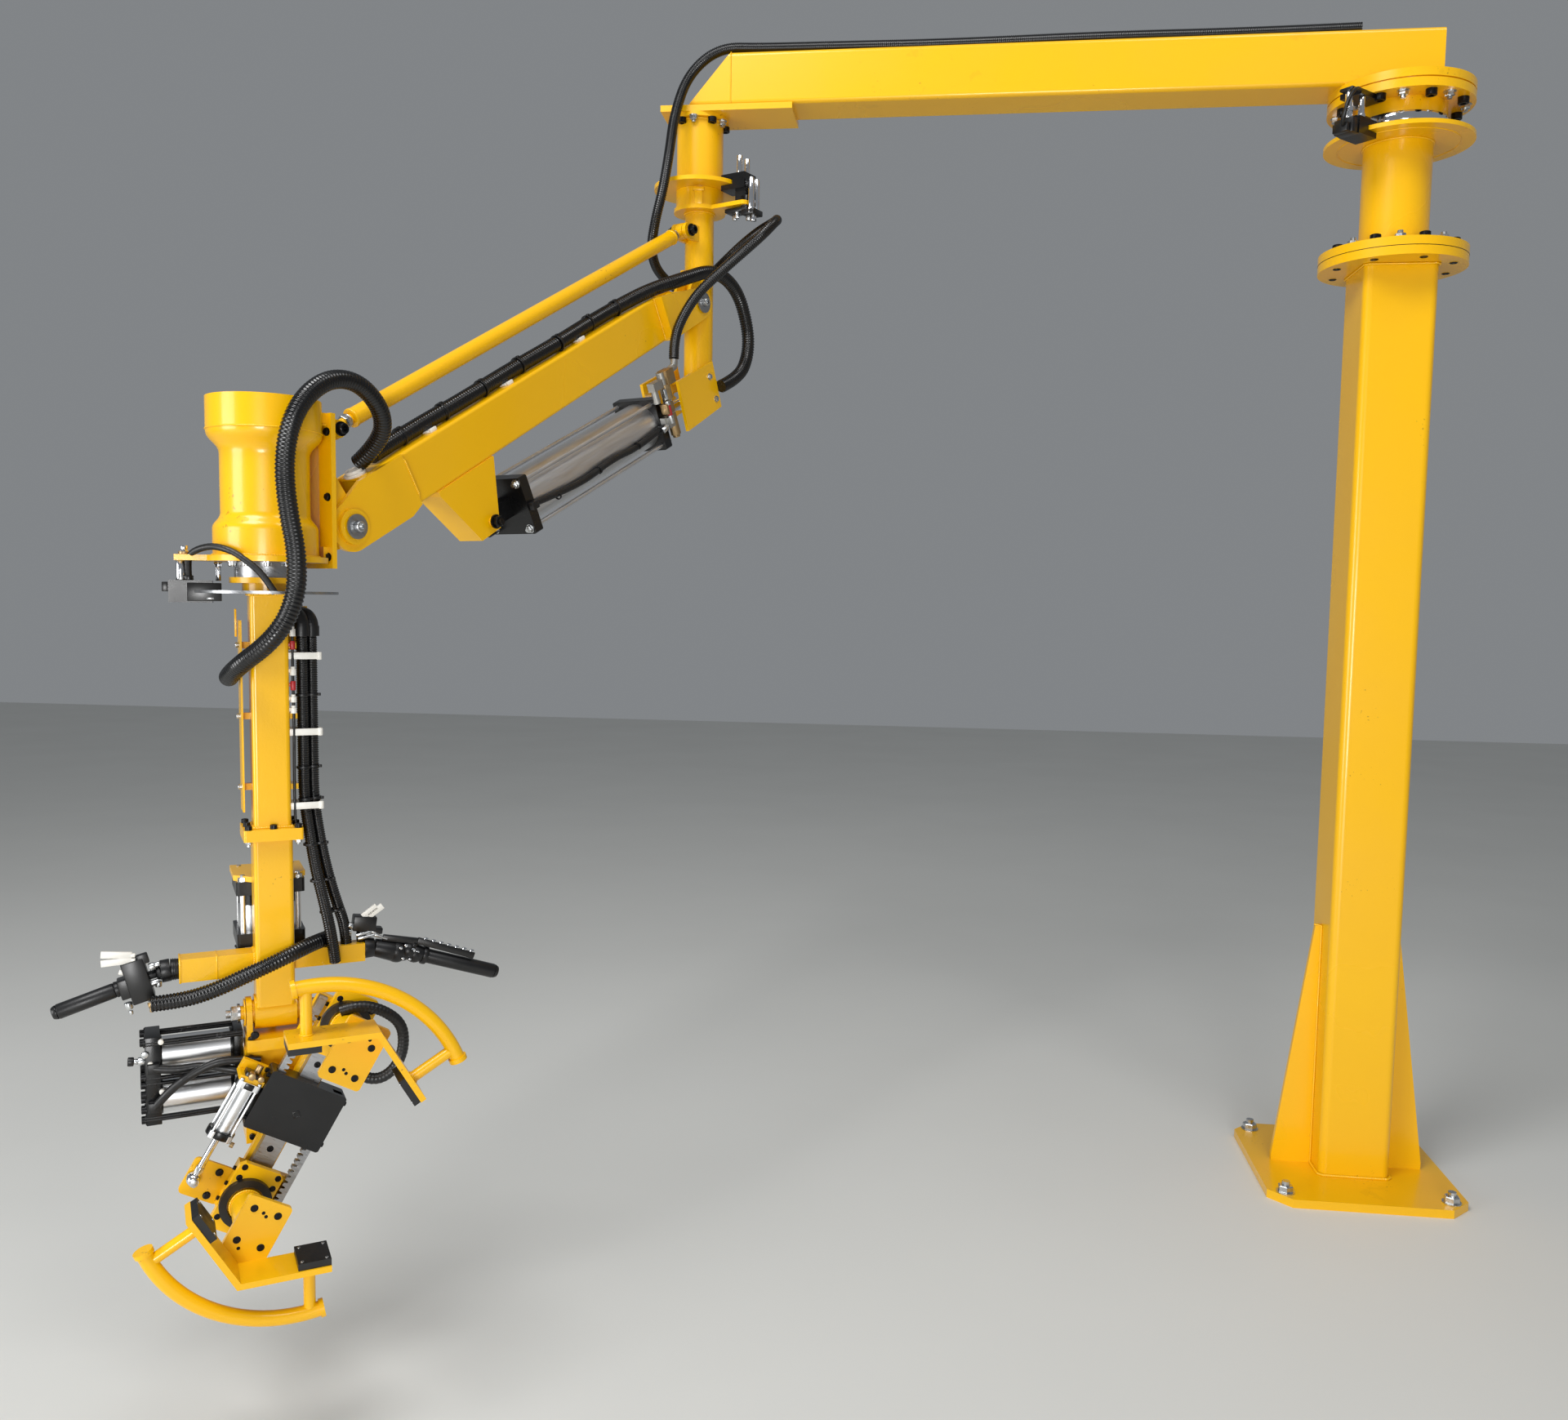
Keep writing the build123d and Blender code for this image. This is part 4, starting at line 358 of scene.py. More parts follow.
def finishPiece(name, mesh, body, finish):
    # a finished mesh becomes a piece that rides on its body; a blended hose has none
    piece = bpy.data.objects.new(name, mesh)
    bpy.context.scene.collection.objects.link(piece)
    if not mesh.materials:
        mesh.materials.append(materials[finish])
    if body:
        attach(piece, body)
    return piece


def bakeNodes(name, mesh, tree, values):
    # runs a Geometry Nodes tree on a mesh and gives back a plain mesh
    carrier = bpy.data.objects.new(name, mesh)
    bpy.context.scene.collection.objects.link(carrier)
    modifier = carrier.modifiers.new("build", "NODES")
    modifier.node_group = tree
    for item in tree.interface.items_tree:
        if item.item_type == "SOCKET" and item.in_out == "INPUT" and item.name in values:
            modifier[item.identifier] = values[item.name]
    graph = bpy.context.evaluated_depsgraph_get()
    graph.update()
    result = bpy.data.meshes.new_from_object(carrier.evaluated_get(graph), depsgraph=graph)
    result.name = name
    carrier.modifiers.remove(modifier)
    bpy.data.objects.remove(carrier)
    return result


def openTree(name, sockets):
    tree = bpy.data.node_groups.new(name, "GeometryNodeTree")
    for label, kind in sockets:
        tree.interface.new_socket(label, in_out="INPUT", socket_type="NodeSocket" + kind)
    tree.interface.new_socket("Result", in_out="OUTPUT", socket_type="NodeSocketGeometry")
    return tree, addNode(tree, "NodeGroupInput").outputs


def closeTree(tree, geometry, finish):
    solid = addNode(tree, "GeometryNodeRealizeInstances", {"Geometry": geometry})
    painted = addNode(tree, "GeometryNodeSetMaterial", {"Geometry": solid.outputs[0], "Material": finish})
    addNode(tree, "NodeGroupOutput", {"Result": painted.outputs[0]})
    return tree


boltShape = {
    # shares of the head's width, which is 1
    "chamferHeight": 0.06, "chamferWidth": 0.87, "washerHeight": 0.16, "washerSides": 20, "studSides": 10,
    "seed": 7,  # for the turn of each head
}


def makeBoltTree(s):
    # a bolt head on every point, turned along the point's axis: head, chamfer, recess, washer and stud
    tree, given = openTree("boltHeads", (
        ("Points", "Geometry"), ("Sides", "Int"), ("Head Height", "Float"), ("Recess Width", "Float"),
        ("Recess Depth", "Float"), ("Washer", "Float"), ("Stud", "Float"), ("Stud Height", "Float"),
        ("Seed", "Int"), ("Finish", "Material"),
    ))
    head = addNode(tree, "GeometryNodeMeshCylinder", {
        "Vertices": given["Sides"], "Radius": 0.5, "Depth": given["Head Height"],
    })
    half = addNode(tree, "ShaderNodeMath", {0: given["Head Height"], 1: 0.5}, operation="MULTIPLY")
    rise = addNode(tree, "ShaderNodeCombineXYZ", {"Z": half.outputs[0]})
    seated = addNode(tree, "GeometryNodeTransform", {
        "Geometry": head.outputs["Mesh"], "Translation": rise.outputs[0],
    })
    crown = addNode(tree, "GeometryNodeExtrudeMesh", {
        "Mesh": seated.outputs[0], "Selection": head.outputs["Top"], "Offset Scale": s["chamferHeight"],
    })
    chamfered = addNode(tree, "GeometryNodeScaleElements", {
        "Geometry": crown.outputs["Mesh"], "Selection": crown.outputs["Top"], "Scale": s["chamferWidth"],
    })
    rim = addNode(tree, "GeometryNodeExtrudeMesh", {
        "Mesh": chamfered.outputs[0], "Selection": crown.outputs["Top"], "Offset Scale": 0.0,
    })
    narrowed = addNode(tree, "GeometryNodeScaleElements", {
        "Geometry": rim.outputs["Mesh"], "Selection": rim.outputs["Top"], "Scale": given["Recess Width"],
    })
    sunk = addNode(tree, "ShaderNodeMath", {0: given["Recess Depth"], 1: -1.0}, operation="MULTIPLY")
    recessed = addNode(tree, "GeometryNodeExtrudeMesh", {
        "Mesh": narrowed.outputs[0], "Selection": rim.outputs["Top"], "Offset Scale": sunk.outputs[0],
    })
    washer = addNode(tree, "GeometryNodeMeshCylinder", {
        "Vertices": s["washerSides"], "Radius": given["Washer"], "Depth": s["washerHeight"],
    })
    stud = addNode(tree, "GeometryNodeMeshCylinder", {
        "Vertices": s["studSides"], "Radius": given["Stud"], "Depth": given["Stud Height"],
    })
    studHalf = addNode(tree, "ShaderNodeMath", {0: given["Stud Height"], 1: 0.5}, operation="MULTIPLY")
    studRise = addNode(tree, "ShaderNodeCombineXYZ", {"Z": studHalf.outputs[0]})
    studSeated = addNode(tree, "GeometryNodeTransform", {
        "Geometry": stud.outputs["Mesh"], "Translation": studRise.outputs[0],
    })
    bolt = addNode(tree, "GeometryNodeJoinGeometry", {"Geometry": recessed.outputs["Mesh"]})
    tree.links.new(washer.outputs["Mesh"], bolt.inputs[0])
    tree.links.new(studSeated.outputs[0], bolt.inputs[0])
    axis = addNode(tree, "GeometryNodeInputNamedAttribute", {"Name": "axis"}, data_type="FLOAT_VECTOR")
    size = addNode(tree, "GeometryNodeInputNamedAttribute", {"Name": "size"}, data_type="FLOAT")
    aimed = addNode(tree, "FunctionNodeAlignRotationToVector", {"Vector": axis.outputs["Attribute"]}, axis="Z")
    spin = addNode(tree, "FunctionNodeRandomValue", {"Seed": given["Seed"]}, data_type="FLOAT")
    spin.inputs[3].default_value = 6.28  # up to a full turn
    turned = addNode(tree, "FunctionNodeAxisAngleToRotation", {"Axis": (0, 0, 1), "Angle": spin.outputs[1]})
    local = addNode(tree, "FunctionNodeRotateRotation", {
        "Rotation": aimed.outputs[0], "Rotate By": turned.outputs[0],
    }, rotation_space="LOCAL")
    placed = addNode(tree, "GeometryNodeInstanceOnPoints", {
        "Points": given["Points"], "Instance": bolt.outputs[0], "Rotation": local.outputs[0],
        "Scale": size.outputs["Attribute"],
    })
    return closeTree(tree, placed.outputs[0], given["Finish"])


def makeHoseTree():
    # a tube along a line of points whose ribs come from every fourth ring
    tree, given = openTree("ribbedTube", (
        ("Line", "Geometry"), ("Diameter", "Float"), ("Pitch", "Float"), ("Rib Depth", "Float"),
        ("Sides", "Int"), ("Finish", "Material"),
    ))
    line = addNode(tree, "GeometryNodeMeshToCurve", {"Mesh": given["Line"]})
    step = addNode(tree, "ShaderNodeMath", {0: given["Pitch"], 1: 0.25}, operation="MULTIPLY")
    rings = addNode(tree, "GeometryNodeResampleCurve", {"Curve": line.outputs[0]}, mode="LENGTH")
    tree.links.new(step.outputs[0], rings.inputs["Length"])
    place = addNode(tree, "GeometryNodeInputIndex")
    phase = addNode(tree, "ShaderNodeMath", {0: place.outputs[0], 1: 4.0}, operation="MODULO")
    groove = addNode(tree, "ShaderNodeMath", {0: phase.outputs[0], 1: 1.5}, operation="GREATER_THAN")
    share = addNode(tree, "ShaderNodeMath", {0: given["Rib Depth"], 1: groove.outputs[0]}, operation="MULTIPLY")
    narrow = addNode(tree, "ShaderNodeMath", {0: 1.0, 1: share.outputs[0]}, operation="SUBTRACT")
    radius = addNode(tree, "ShaderNodeMath", {0: given["Diameter"], 1: 0.5}, operation="MULTIPLY")
    section = addNode(tree, "GeometryNodeCurvePrimitiveCircle", {
        "Resolution": given["Sides"], "Radius": radius.outputs[0],
    })
    tube = addNode(tree, "GeometryNodeCurveToMesh", {
        "Curve": rings.outputs[0], "Profile Curve": section.outputs["Curve"],
        "Scale": narrow.outputs[0], "Fill Caps": True,
    })
    smooth = addNode(tree, "GeometryNodeSetShadeSmooth", {"Geometry": tube.outputs[0]})
    return closeTree(tree, smooth.outputs[0], given["Finish"])


boltTree = makeBoltTree(boltShape)
hoseTree = makeHoseTree()

boltKinds = {
    "hexHead": {"Sides": 6, "Head Height": 0.32, "Recess Width": 0.8, "Recess Depth": 0.0, "Washer": 0.58},
    "capScrew": {"Sides": 20, "Head Height": 0.55, "Recess Width": 0.6, "Recess Depth": 0.34, "Washer": 0.05},
    "washerCap": {"Sides": 20, "Head Height": 0.50, "Recess Width": 0.6, "Recess Depth": 0.30, "Washer": 0.68},
    "nutOnStud": {
        "Sides": 6, "Head Height": 0.42, "Recess Width": 0.8, "Recess Depth": 0.0, "Washer": 0.60,
        "Stud": 0.26, "Stud Height": 0.75,
    },
    "sunkHead": {
        "Sides": 20, "Head Height": 0.03, "Recess Width": 0.78, "Recess Depth": 0.08, "Washer": 0.05,
        "Stud": 0.20, "Stud Height": 0.08,
    },
}
hiddenStud = {"Stud": 0.05, "Stud Height": 0.1}  # inside the head, where the kind has no stud


def addBolts(name, body, finish, kind, items, frameName=None):
    # items: x, y, z in mm, axis, head width in mm
    frameName = frameName or bodyFrame[body]
    mesh = bpy.data.meshes.new(name + "Points")
    mesh.from_pydata([spot(frameName, x, y, z) for x, y, z, axis, size in items], [], [])
    mesh.attributes.new("axis", "FLOAT_VECTOR", "POINT")
    mesh.attributes.new("size", "FLOAT", "POINT")
    for k, (x, y, z, axis, size) in enumerate(items):
        mesh.attributes["axis"].data[k].vector = heading(frameName, *axis)
        mesh.attributes["size"].data[k].value = size / 1000
    values = {**hiddenStud, **boltKinds[kind], "Seed": boltShape["seed"], "Finish": materials[finish]}
    return finishPiece(name, bakeNodes(name, mesh, boltTree, values), body, finish)


def ringOf(count, radius, z, up, size, centre=(0, 0), start=0.0):
    # bolts evenly spaced on a circle in a frame's xy plane
    x, y = centre
    turns = [math.radians(start + 360 * k / count) for k in range(count)]
    return [(x + radius * math.cos(a), y + radius * math.sin(a), z, (0, 0, up), size) for a in turns]


def smoothLine(points):
    # a NURBS line with the route's points as its control points, read back as fine points
    data = bpy.data.curves.new("line", "CURVE")
    data.dimensions = "3D"
    data.resolution_u = 16
    spline = data.splines.new("NURBS")
    spline.points.add(len(points) - 1)
    for k, p in enumerate(points):
        spline.points[k].co = (*p, 1)
    spline.order_u = 3
    spline.use_endpoint_u = True
    holder = bpy.data.objects.new("line", data)
    bpy.context.scene.collection.objects.link(holder)
    graph = bpy.context.evaluated_depsgraph_get()
    graph.update()
    mesh = bpy.data.meshes.new_from_object(holder.evaluated_get(graph), depsgraph=graph)
    bpy.data.objects.remove(holder)
    bpy.data.curves.remove(data)
    return mesh


def layHose(name, s):
    # a hose along its route, in millimetres of one frame
    frameName = s.get("frame") or bodyFrame[s["body"]]
    line = smoothLine([spot(frameName, *p) for p in s["route"]])
    diameter = s["diameter"] / 1000
    values = {
        "Diameter": diameter, "Pitch": s["pitch"] / 1000, "Rib Depth": s["depth"],
        "Sides": s.get("sides", 20), "Finish": materials[s["finish"]],
    }
    piece = finishPiece(name, bakeNodes(name, line, hoseTree, values), s.get("body"), s["finish"])
    if "between" in s:
        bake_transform(piece)
    if "replaces" in s:
        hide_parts(s["replaces"])


toMetres = Matrix.Scale(0.001, 4)


def addBox(bm, frameName, centre, size, turn=None):
    # a box round its centre, turned first where a turn is given
    made = bmesh.ops.create_cube(bm, size=1.0)["verts"]
    local = Matrix.Translation(Vector(centre)) @ (turn or Matrix()) @ Matrix.Diagonal((*size, 1))
    bmesh.ops.transform(bm, matrix=toMetres @ local, verts=made)
    bmesh.ops.transform(bm, matrix=frames[frameName], verts=made)


def addRod(bm, frameName, start, end, radius, sides=20, endRadius=None):
    # a round bar between two points; a second radius makes it a taper
    a, b = Vector(start), Vector(end)
    made = bmesh.ops.create_cone(
        bm, cap_ends=True, segments=sides, radius1=radius,
        radius2=radius if endRadius is None else endRadius, depth=(b - a).length,
    )["verts"]
    turn = (b - a).to_track_quat("Z", "Y").to_matrix().to_4x4()
    local = Matrix.Translation((a + b) / 2) @ turn
    bmesh.ops.transform(bm, matrix=frames[frameName] @ toMetres @ local, verts=made)


def addRing(bm, frameName, centre, axis, outer, inner, height, sides=32):
    # a washer or collar standing on its centre along the axis
    turn = Vector(axis).to_track_quat("Z", "Y").to_matrix().to_4x4()
    whole = frames[frameName] @ toMetres @ Matrix.Translation(Vector(centre)) @ turn
    rows = []
    for radius, z in ((outer, 0), (outer, height), (inner, height), (inner, 0)):
        rows.append([
            bm.verts.new(whole @ Vector((radius * math.cos(a), radius * math.sin(a), z)))
            for a in (2 * math.pi * k / sides for k in range(sides))
        ])
    for k in range(4):
        near, far = rows[k], rows[(k + 1) % 4]
        for j in range(sides):
            bm.faces.new((near[j], near[(j + 1) % sides], far[(j + 1) % sides], far[j]))


def addBall(bm, frameName, centre, radius):
    made = bmesh.ops.create_uvsphere(bm, u_segments=18, v_segments=12, radius=radius)["verts"]
    whole = frames[frameName] @ toMetres @ Matrix.Translation(Vector(centre))
    bmesh.ops.transform(bm, matrix=whole, verts=made)


shapeMakers = {"box": addBox, "rod": addRod, "ring": addRing, "ball": addBall}
edges = {"bevelAngle": math.radians(50), "bevelSegments": 2, "sharpAngle": math.radians(40)}


def buildShape(name, body, s):
    # one piece from its list of parts, in millimetres of one frame, with its edges broken
    frameName = s.get("frame", bodyFrame[body])
    bm = bmesh.new()
    for kind, *values in s["parts"]:
        shapeMakers[kind](bm, frameName, *values)
    bmesh.ops.recalc_face_normals(bm, faces=bm.faces)
    mesh = bpy.data.meshes.new(name)
    bm.to_mesh(mesh)
    bm.free()
    piece = finishPiece(name, mesh, body, s["finish"])
    if s["bevelMm"]:
        bevel = piece.modifiers.new("edges", "BEVEL")
        bevel.width = s["bevelMm"] / 1000
        bevel.segments = edges["bevelSegments"]
        bevel.limit_method = "ANGLE"
        bevel.angle_limit = edges["bevelAngle"]
        graph = bpy.context.evaluated_depsgraph_get()
        finished = bpy.data.meshes.new_from_object(piece.evaluated_get(graph), depsgraph=graph)
        piece.modifiers.remove(bevel)
        piece.data = finished
    piece.data.set_sharp_from_angle(angle=edges["sharpAngle"])


def barAlong(a, b, size):
    # a box whose length lies along the line from a to b, with its middle halfway
    a, b = Vector(a), Vector(b)
    return "box", (a + b) / 2, size, (b - a).to_track_quat("X", "Y").to_matrix().to_4x4()


# Hoses, first because they decide the room the object takes
hoses = {
    "boomHose": {
        "between": ("boom", "mast", ("mast", -80, 0, 20), ("mast", -80, 0, -230)), "frame": "boom",
        "replaces": "boom_hose", "diameter": 30, "pitch": 6, "depth": 0.09,
        "finish": "corrugatedNylon", "lay": "hanging",
        "route": [
            (-130, -44, 3366.2), (-430, -36, 3366.2), (-850, -48, 3366.2), (-1280, -36, 3366.2),
            (-1640, -48, 3366.2), (-1850, -44, 3370.2), (-1974, -50, 3374.2), (-2062, -80, 3290),
            (-2096, -120, 3160), (-2104, -148, 3040), (-2120, -160, 2930), (-2150, -142, 2835),
            (-2174, -82, 2765), (-2162, 0, 2716), (-2122, 66, 2694),
        ],
    },
    "valveHose": {
        "body": "mast", "replaces": "valve_hose", "diameter": 30, "pitch": 6, "depth": 0.09,
        "finish": "corrugatedNylon", "lay": "hanging",
        "route": [
            (-92, -30, -232), (-84, 66, -170), (-70, 168, -122), (-30, 262, -112), (44, 312, -132),
            (112, 300, -196), (160, 222, -276), (196, 140, -352), (220, 96, -430), (238, 84, -496),
            (242, 88, -546),
        ],
    },
    "armHose": {
        "between": ("mast", "arm", ("arm", -40, 0, -120), ("arm", 260, 0, 60)), "frame": "arm",
        "replaces": "arm_hose", "diameter": 40, "pitch": 8, "depth": 0.09,
        "finish": "corrugatedNylon", "lay": "hanging",
        "route": [
            (1338, 8, 102), (1190, -8, 100), (1000, 8, 102), (810, -8, 100), (620, 8, 102), (430, -8, 100),
            (290, 6, 102), (180, 26, 102), (66, 64, 92), (-74, 88, 75), (-165, 90, -16), (-165, 90, -144),
            (-126, 88, -218), (-50, 86, -258), (53, 84, -246),
        ],
    },
    "wristHose": {
        "between": ("wrist", "tool_mast", ("wrist", 250, 160, 60), ("tool", -58, 0, -300)), "frame": "wrist",
        "replaces": "wrist_hose", "diameter": 40, "pitch": 8, "depth": 0.09,
        "finish": "corrugatedNylon", "lay": "hanging",
        "route": [
            (-55, 6, 148), (-64, 72, 194), (-32, 118, 250), (44, 140, 300), (122, 146, 304),
            (198, 158, 262), (246, 162, 196), (260, 158, 110), (252, 158, 20), (242, 172, -70),
            (250, 178, -160), (276, 148, -240), (298.6, 32.4, -312.0), (240.1, -63.1, -332.0),
        ],
    },
    "nearToolHose": {
        "body": "tool_mast", "replaces": "tool_hoses", "diameter": 25, "pitch": 5, "depth": 0.10,
        "finish": "corrugatedNylon", "lay": "hanging",
        "route": [
            (66.75, -10, -206), (66.75, -14, -300), (66.75, -10, -400), (66.75, -14, -500), (66.75, -10, -590),
            (75.5, -14, -668), (86, -26, -750), (103, -38, -830), (116, -43, -900), (124, -33, -962),
        ],
    },
    "farToolHose": {
        "body": "tool_mast", "replaces": "tool_hoses", "diameter": 25, "pitch": 5, "depth": 0.10,
        "finish": "corrugatedNylon", "lay": "hanging",
        "route": [
            (87.75, 4.5, -206), (87.75, 0.5, -300), (87.75, 4.5, -400), (87.75, 0.5, -500), (87.75, 4.5, -590),
            (96.5, 0.5, -668), (110, -8, -750), (130, -14, -830), (150, -2, -890), (152, 0, -929.7),
        ],
    },
    "handleHose": {
        "body": "tool_mast", "replaces": "tool_hoses", "diameter": 34, "pitch": 7, "depth": 0.10,
        "finish": "corrugatedNylon", "lay": "hanging",
        "route": [
            (120, 2, -913.6), (84, -30, -914), (40, -66, -922), (-20, -84, -942), (-66, -76, -962),
            (-126, -62, -990), (-186, -46, -1008), (-244, -39.4, -1010),
        ],
    },
    "cylinderHose": {
        "body": "barrel", "replaces": "cylinder_hose", "diameter": 18, "pitch": 12,
        "depth": 0.02, "finish": "nitrileRubber", "lay": "taut",
        "route": [
            (713, 75.7, 10.6), (600, 72.2, 24.9), (470, 75.5, 12), (345, 72.7, 23.6), (230, 75, 14.6),
            (129, 76.4, 2.7),
        ],
    },
    "upperHeadHose": {
        "body": "tilt_head", "replaces": "head_hoses", "diameter": 18, "pitch": 12, "depth": 0.02,
        "finish": "nitrileRubber", "lay": "hanging",
        "route": [
            (-243, -30.5, -1152), (-205, -35.5, -1160), (-150, -33.5, -1157), (-98, -55.5, -1166),
            (-50, -54.5, -1180), (-8, -54.5, -1190),
        ],
    },
    "lowerHeadHose": {
        "body": "tilt_head", "replaces": "head_hoses", "diameter": 18, "pitch": 12, "depth": 0.02,
        "finish": "nitrileRubber", "lay": "hanging",
        "route": [
            (-243, -30.5, -1236), (-218, -36.5, -1206), (-182, -54.5, -1172), (-128, -58.5, -1146),
            (-82, -57.5, -1146), (-36, -55.5, -1156),
        ],
    },
}
for hoseName, hose in hoses.items():
    layHose(hoseName, hose)
print("hoses laid")


fineWeld = {"width": 6, "pitch": 5, "depth": 0.16}
heavyWeld = {"width": 9, "pitch": 7, "depth": 0.16}


def addWeld(name, body, points, s=fineWeld, frameName=None):
    # a painted bead along straight points in millimetres of one frame
    frameName = frameName or bodyFrame[body]
    mesh = bpy.data.meshes.new(name + "Line")
    mesh.from_pydata([spot(frameName, *p) for p in points], [(k, k + 1) for k in range(len(points) - 1)], [])
    values = {
        "Diameter": s["width"] / 1000, "Pitch": s["pitch"] / 1000, "Rib Depth": s["depth"], "Sides": 8,
        "Finish": materials["powderCoatYellow"],
    }
    return finishPiece(name, bakeNodes(name, mesh, hoseTree, values), body, "powderCoatYellow")


def circlePoints(radius, z, count=56, centre=(0, 0)):
    # a closed circle in a frame's xy plane
    turns = [2 * math.pi * k / count for k in range(count + 1)]
    return [(centre[0] + radius * math.cos(a), centre[1] + radius * math.sin(a), z) for a in turns]


# Column: anchors, flange bolts, weld beads, the seam of its flanges and the bright ring under the slewing ring
addBolts("anchorNuts", "column", "zincPlate", "nutOnStud", [
    (x, y, 25, (0, 0, 1), 44) for x in (-230, 230) for y in (-230, 230)
])
addBolts("columnFlangeCaps", "column", "blackOxide", "capScrew", ringOf(8, 165, 2750, 1, 30, start=12))
addBolts("columnFlangeNuts", "column", "zincPlate", "nutOnStud", ringOf(8, 165, 2750, 1, 30, start=34))
addBolts("columnFlangeUnder", "column", "blackOxide", "sunkHead", ringOf(8, 165, 2700, -1, 22, start=12))
half, flat = 101.6, 90  # half the column tube's width, and its flat side without the rounded corner
foot = [
    (half, flat), (flat, half), (-flat, half), (-half, flat), (-half, -flat), (-flat, -half), (flat, -half),
    (half, -flat), (half, flat),
]
addWeld("columnFootWeld", "column", [(x * 1.03, y * 1.03, 28) for x, y in foot], heavyWeld)
addWeld("columnHeadWeld", "column", [(x * 1.02, y * 1.02, 2697) for x, y in foot])
addWeld("postFootWeld", "column", circlePoints(95, 2752), heavyWeld)
addWeld("postDiscWeld", "column", circlePoints(94, 3046))
gussetEdge = ((104, -9, 30), (104, -9, 765), (122, 0, 767), (104, 9, 765), (104, 9, 30))
for weldName, side in (("gussetWeldLeft", -1), ("gussetWeldRight", 1)):
    addWeld(weldName, "column", [(side * x, y, z) for x, y, z in gussetEdge])
buildShape("brightCollar", "column", {"finish": "hardChrome", "bevelMm": 1.5, "parts": [
    ("ring", (0, 0, 3060.2), (0, 0, 1), 110, 93.2, 14, 64), ("ring", (0, 0, 3084), (0, 0, 1), 130, 92, 24, 72),
]})
buildShape("flangeSeam", "column", {"finish": "blackOxide", "bevelMm": 0, "parts": [
    ("ring", (0, 0, 2724.3), (0, 0, 1), 200.4, 196, 1.6, 96),
]})
addWeld("discLine", "column", circlePoints(162, 3047.6), {"width": 3, "pitch": 9, "depth": 0.1})
print("column dressed")

# Boom: flange bolts, drop bolts, seams and the first brake's fittings
addBolts("boomFlangeCaps", "boom", "blackOxide", "capScrew", ringOf(8, 168, 3148.3, -1, 30, start=10))
addBolts("boomFlangeNuts", "boom", "zincPlate", "nutOnStud", ringOf(8, 168, 3148.3, -1, 28, start=30))
addBolts("dropFlangeCaps", "boom", "blackOxide", "capScrew", ringOf(5, 78, 3168.3, -1, 26, (-2040, 0), 20))
addBolts("dropFlangeNuts", "boom", "zincPlate", "nutOnStud", ringOf(5, 78, 3168.3, -1, 24, (-2040, 0), 50))
noseEdge = ((-77, 3203), (-77, 3345), (-70, 3351), (70, 3351), (77, 3345), (77, 3203))
addWeld("noseSeam", "boom", [(-1935, y, z) for y, z in noseEdge], {"width": 4, "pitch": 5, "depth": 0.14})
for weldName, y in (("saddleWeld", -77), ("saddleWeldBack", 77)):
    addWeld(weldName, "boom", [(-1762, y, 3197), (-2062, y, 3197)])
addWeld("boomFlangeWeld", "boom", [(88, -78, 3200), (-175, -78, 3200)])
for weldName, z in (("dropWeld", 3165), ("dropDiscWeld", 2981)):
    addWeld(weldName, "boom", circlePoints(72, z, centre=(-2040, 0)))
buildShape("brake1Studs", "boom", {"frame": "brake1", "finish": "hardChrome", "bevelMm": 1.0, "parts": [
    *[("rod", (222, side * 20, 3077), (222, side * 20, 3134), 9) for side in (-1, 1)],
    *[("rod", (222, side * 20, 3077), (222, side * 20, 3086), 12, 6) for side in (-1, 1)],
    ("rod", (252, 0, 3075), (252, 0, 3146), 11), ("rod", (252, 0, 3092), (252, 0, 3104), 14, 6),
]})
buildShape("brake1Valve", "boom", {"frame": "brake1", "finish": "anodisedBlack", "bevelMm": 2.0, "parts": [
    ("box", (256, 0, 3050), (36, 56, 40)), ("box", (282, 0, 3042), (18, 44, 24)),
    ("box", (204, 0, 3082), (52, 44, 10)), ("box", (252, 0, 3150), (34, 40, 8)),
]})
layHose("brake1Cable", {
    "body": "boom", "frame": "brake1", "diameter": 11, "pitch": 8, "depth": 0.02,
    "finish": "nitrileRubber", "lay": "hanging", "stiffness": "stiff",
    "route": [
        (244, 28, 3144), (268, 34, 3146), (302, 34, 3116), (310, 26, 3074), (300, 12, 3046), (270, 4, 3044),
    ],
})

# Mast: hub tab, second brake's fittings, pins, bolts and weld beads
hubLean = Matrix.Rotation(math.radians(33), 4, "Z")
buildShape("hubTab", "mast", {"finish": "powderCoatYellow", "bevelMm": 1.5, "parts": [
    ("box", (62.5, 40.6, -29), (9, 24, 50), hubLean), ("box", (66, 42.9, -12), (12, 34, 9), hubLean),
]})
buildShape("brake2Silencers", "mast", {"frame": "brake2", "finish": "hardChrome", "bevelMm": 1.0, "parts": [
    *[("rod", (161, y, 29.5), (161, y, 79.5), 8.5) for y in (-20, 20)],
    *[("rod", (201, y, -78), (201, y, 8), 10) for y in (-16, 12)],
    *[("rod", (201, y, 8), (201, y, 12), 8) for y in (-16, 12)],
    *[("rod", (201, y, -92), (201, y, -78), 13, 6) for y in (-16, 12)], ("rod", (201, -2, -112), (201, -2, -92), 9),
]})
buildShape("brake2Valve", "mast", {"frame": "brake2", "finish": "anodisedBlack", "bevelMm": 2.0, "parts": [
    ("box", (195, -2, -88), (44, 52, 16)), ("box", (178, 0, -60), (22, 44, 46)),
    ("box", (150, 0, -76), (80, 48, 12)),
]})
buildShape("brake2Fittings", "mast", {"frame": "brake2", "finish": "zincPlate", "bevelMm": 0.8, "parts": [
    ("rod", (150, -14, -100), (150, -14, -82), 8, 6), ("rod", (176, 8, -104), (176, 8, -82), 8, 6),
    ("rod", (128, 6, -98), (128, 6, -82), 7, 6),
]})
addBolts("tiePinSockets", "mast", "blackOxide", "washerCap", [
    (87, 34, -135, (0, 1, 0), 26), (87, -34, -135, (0, -1, 0), 26),
])
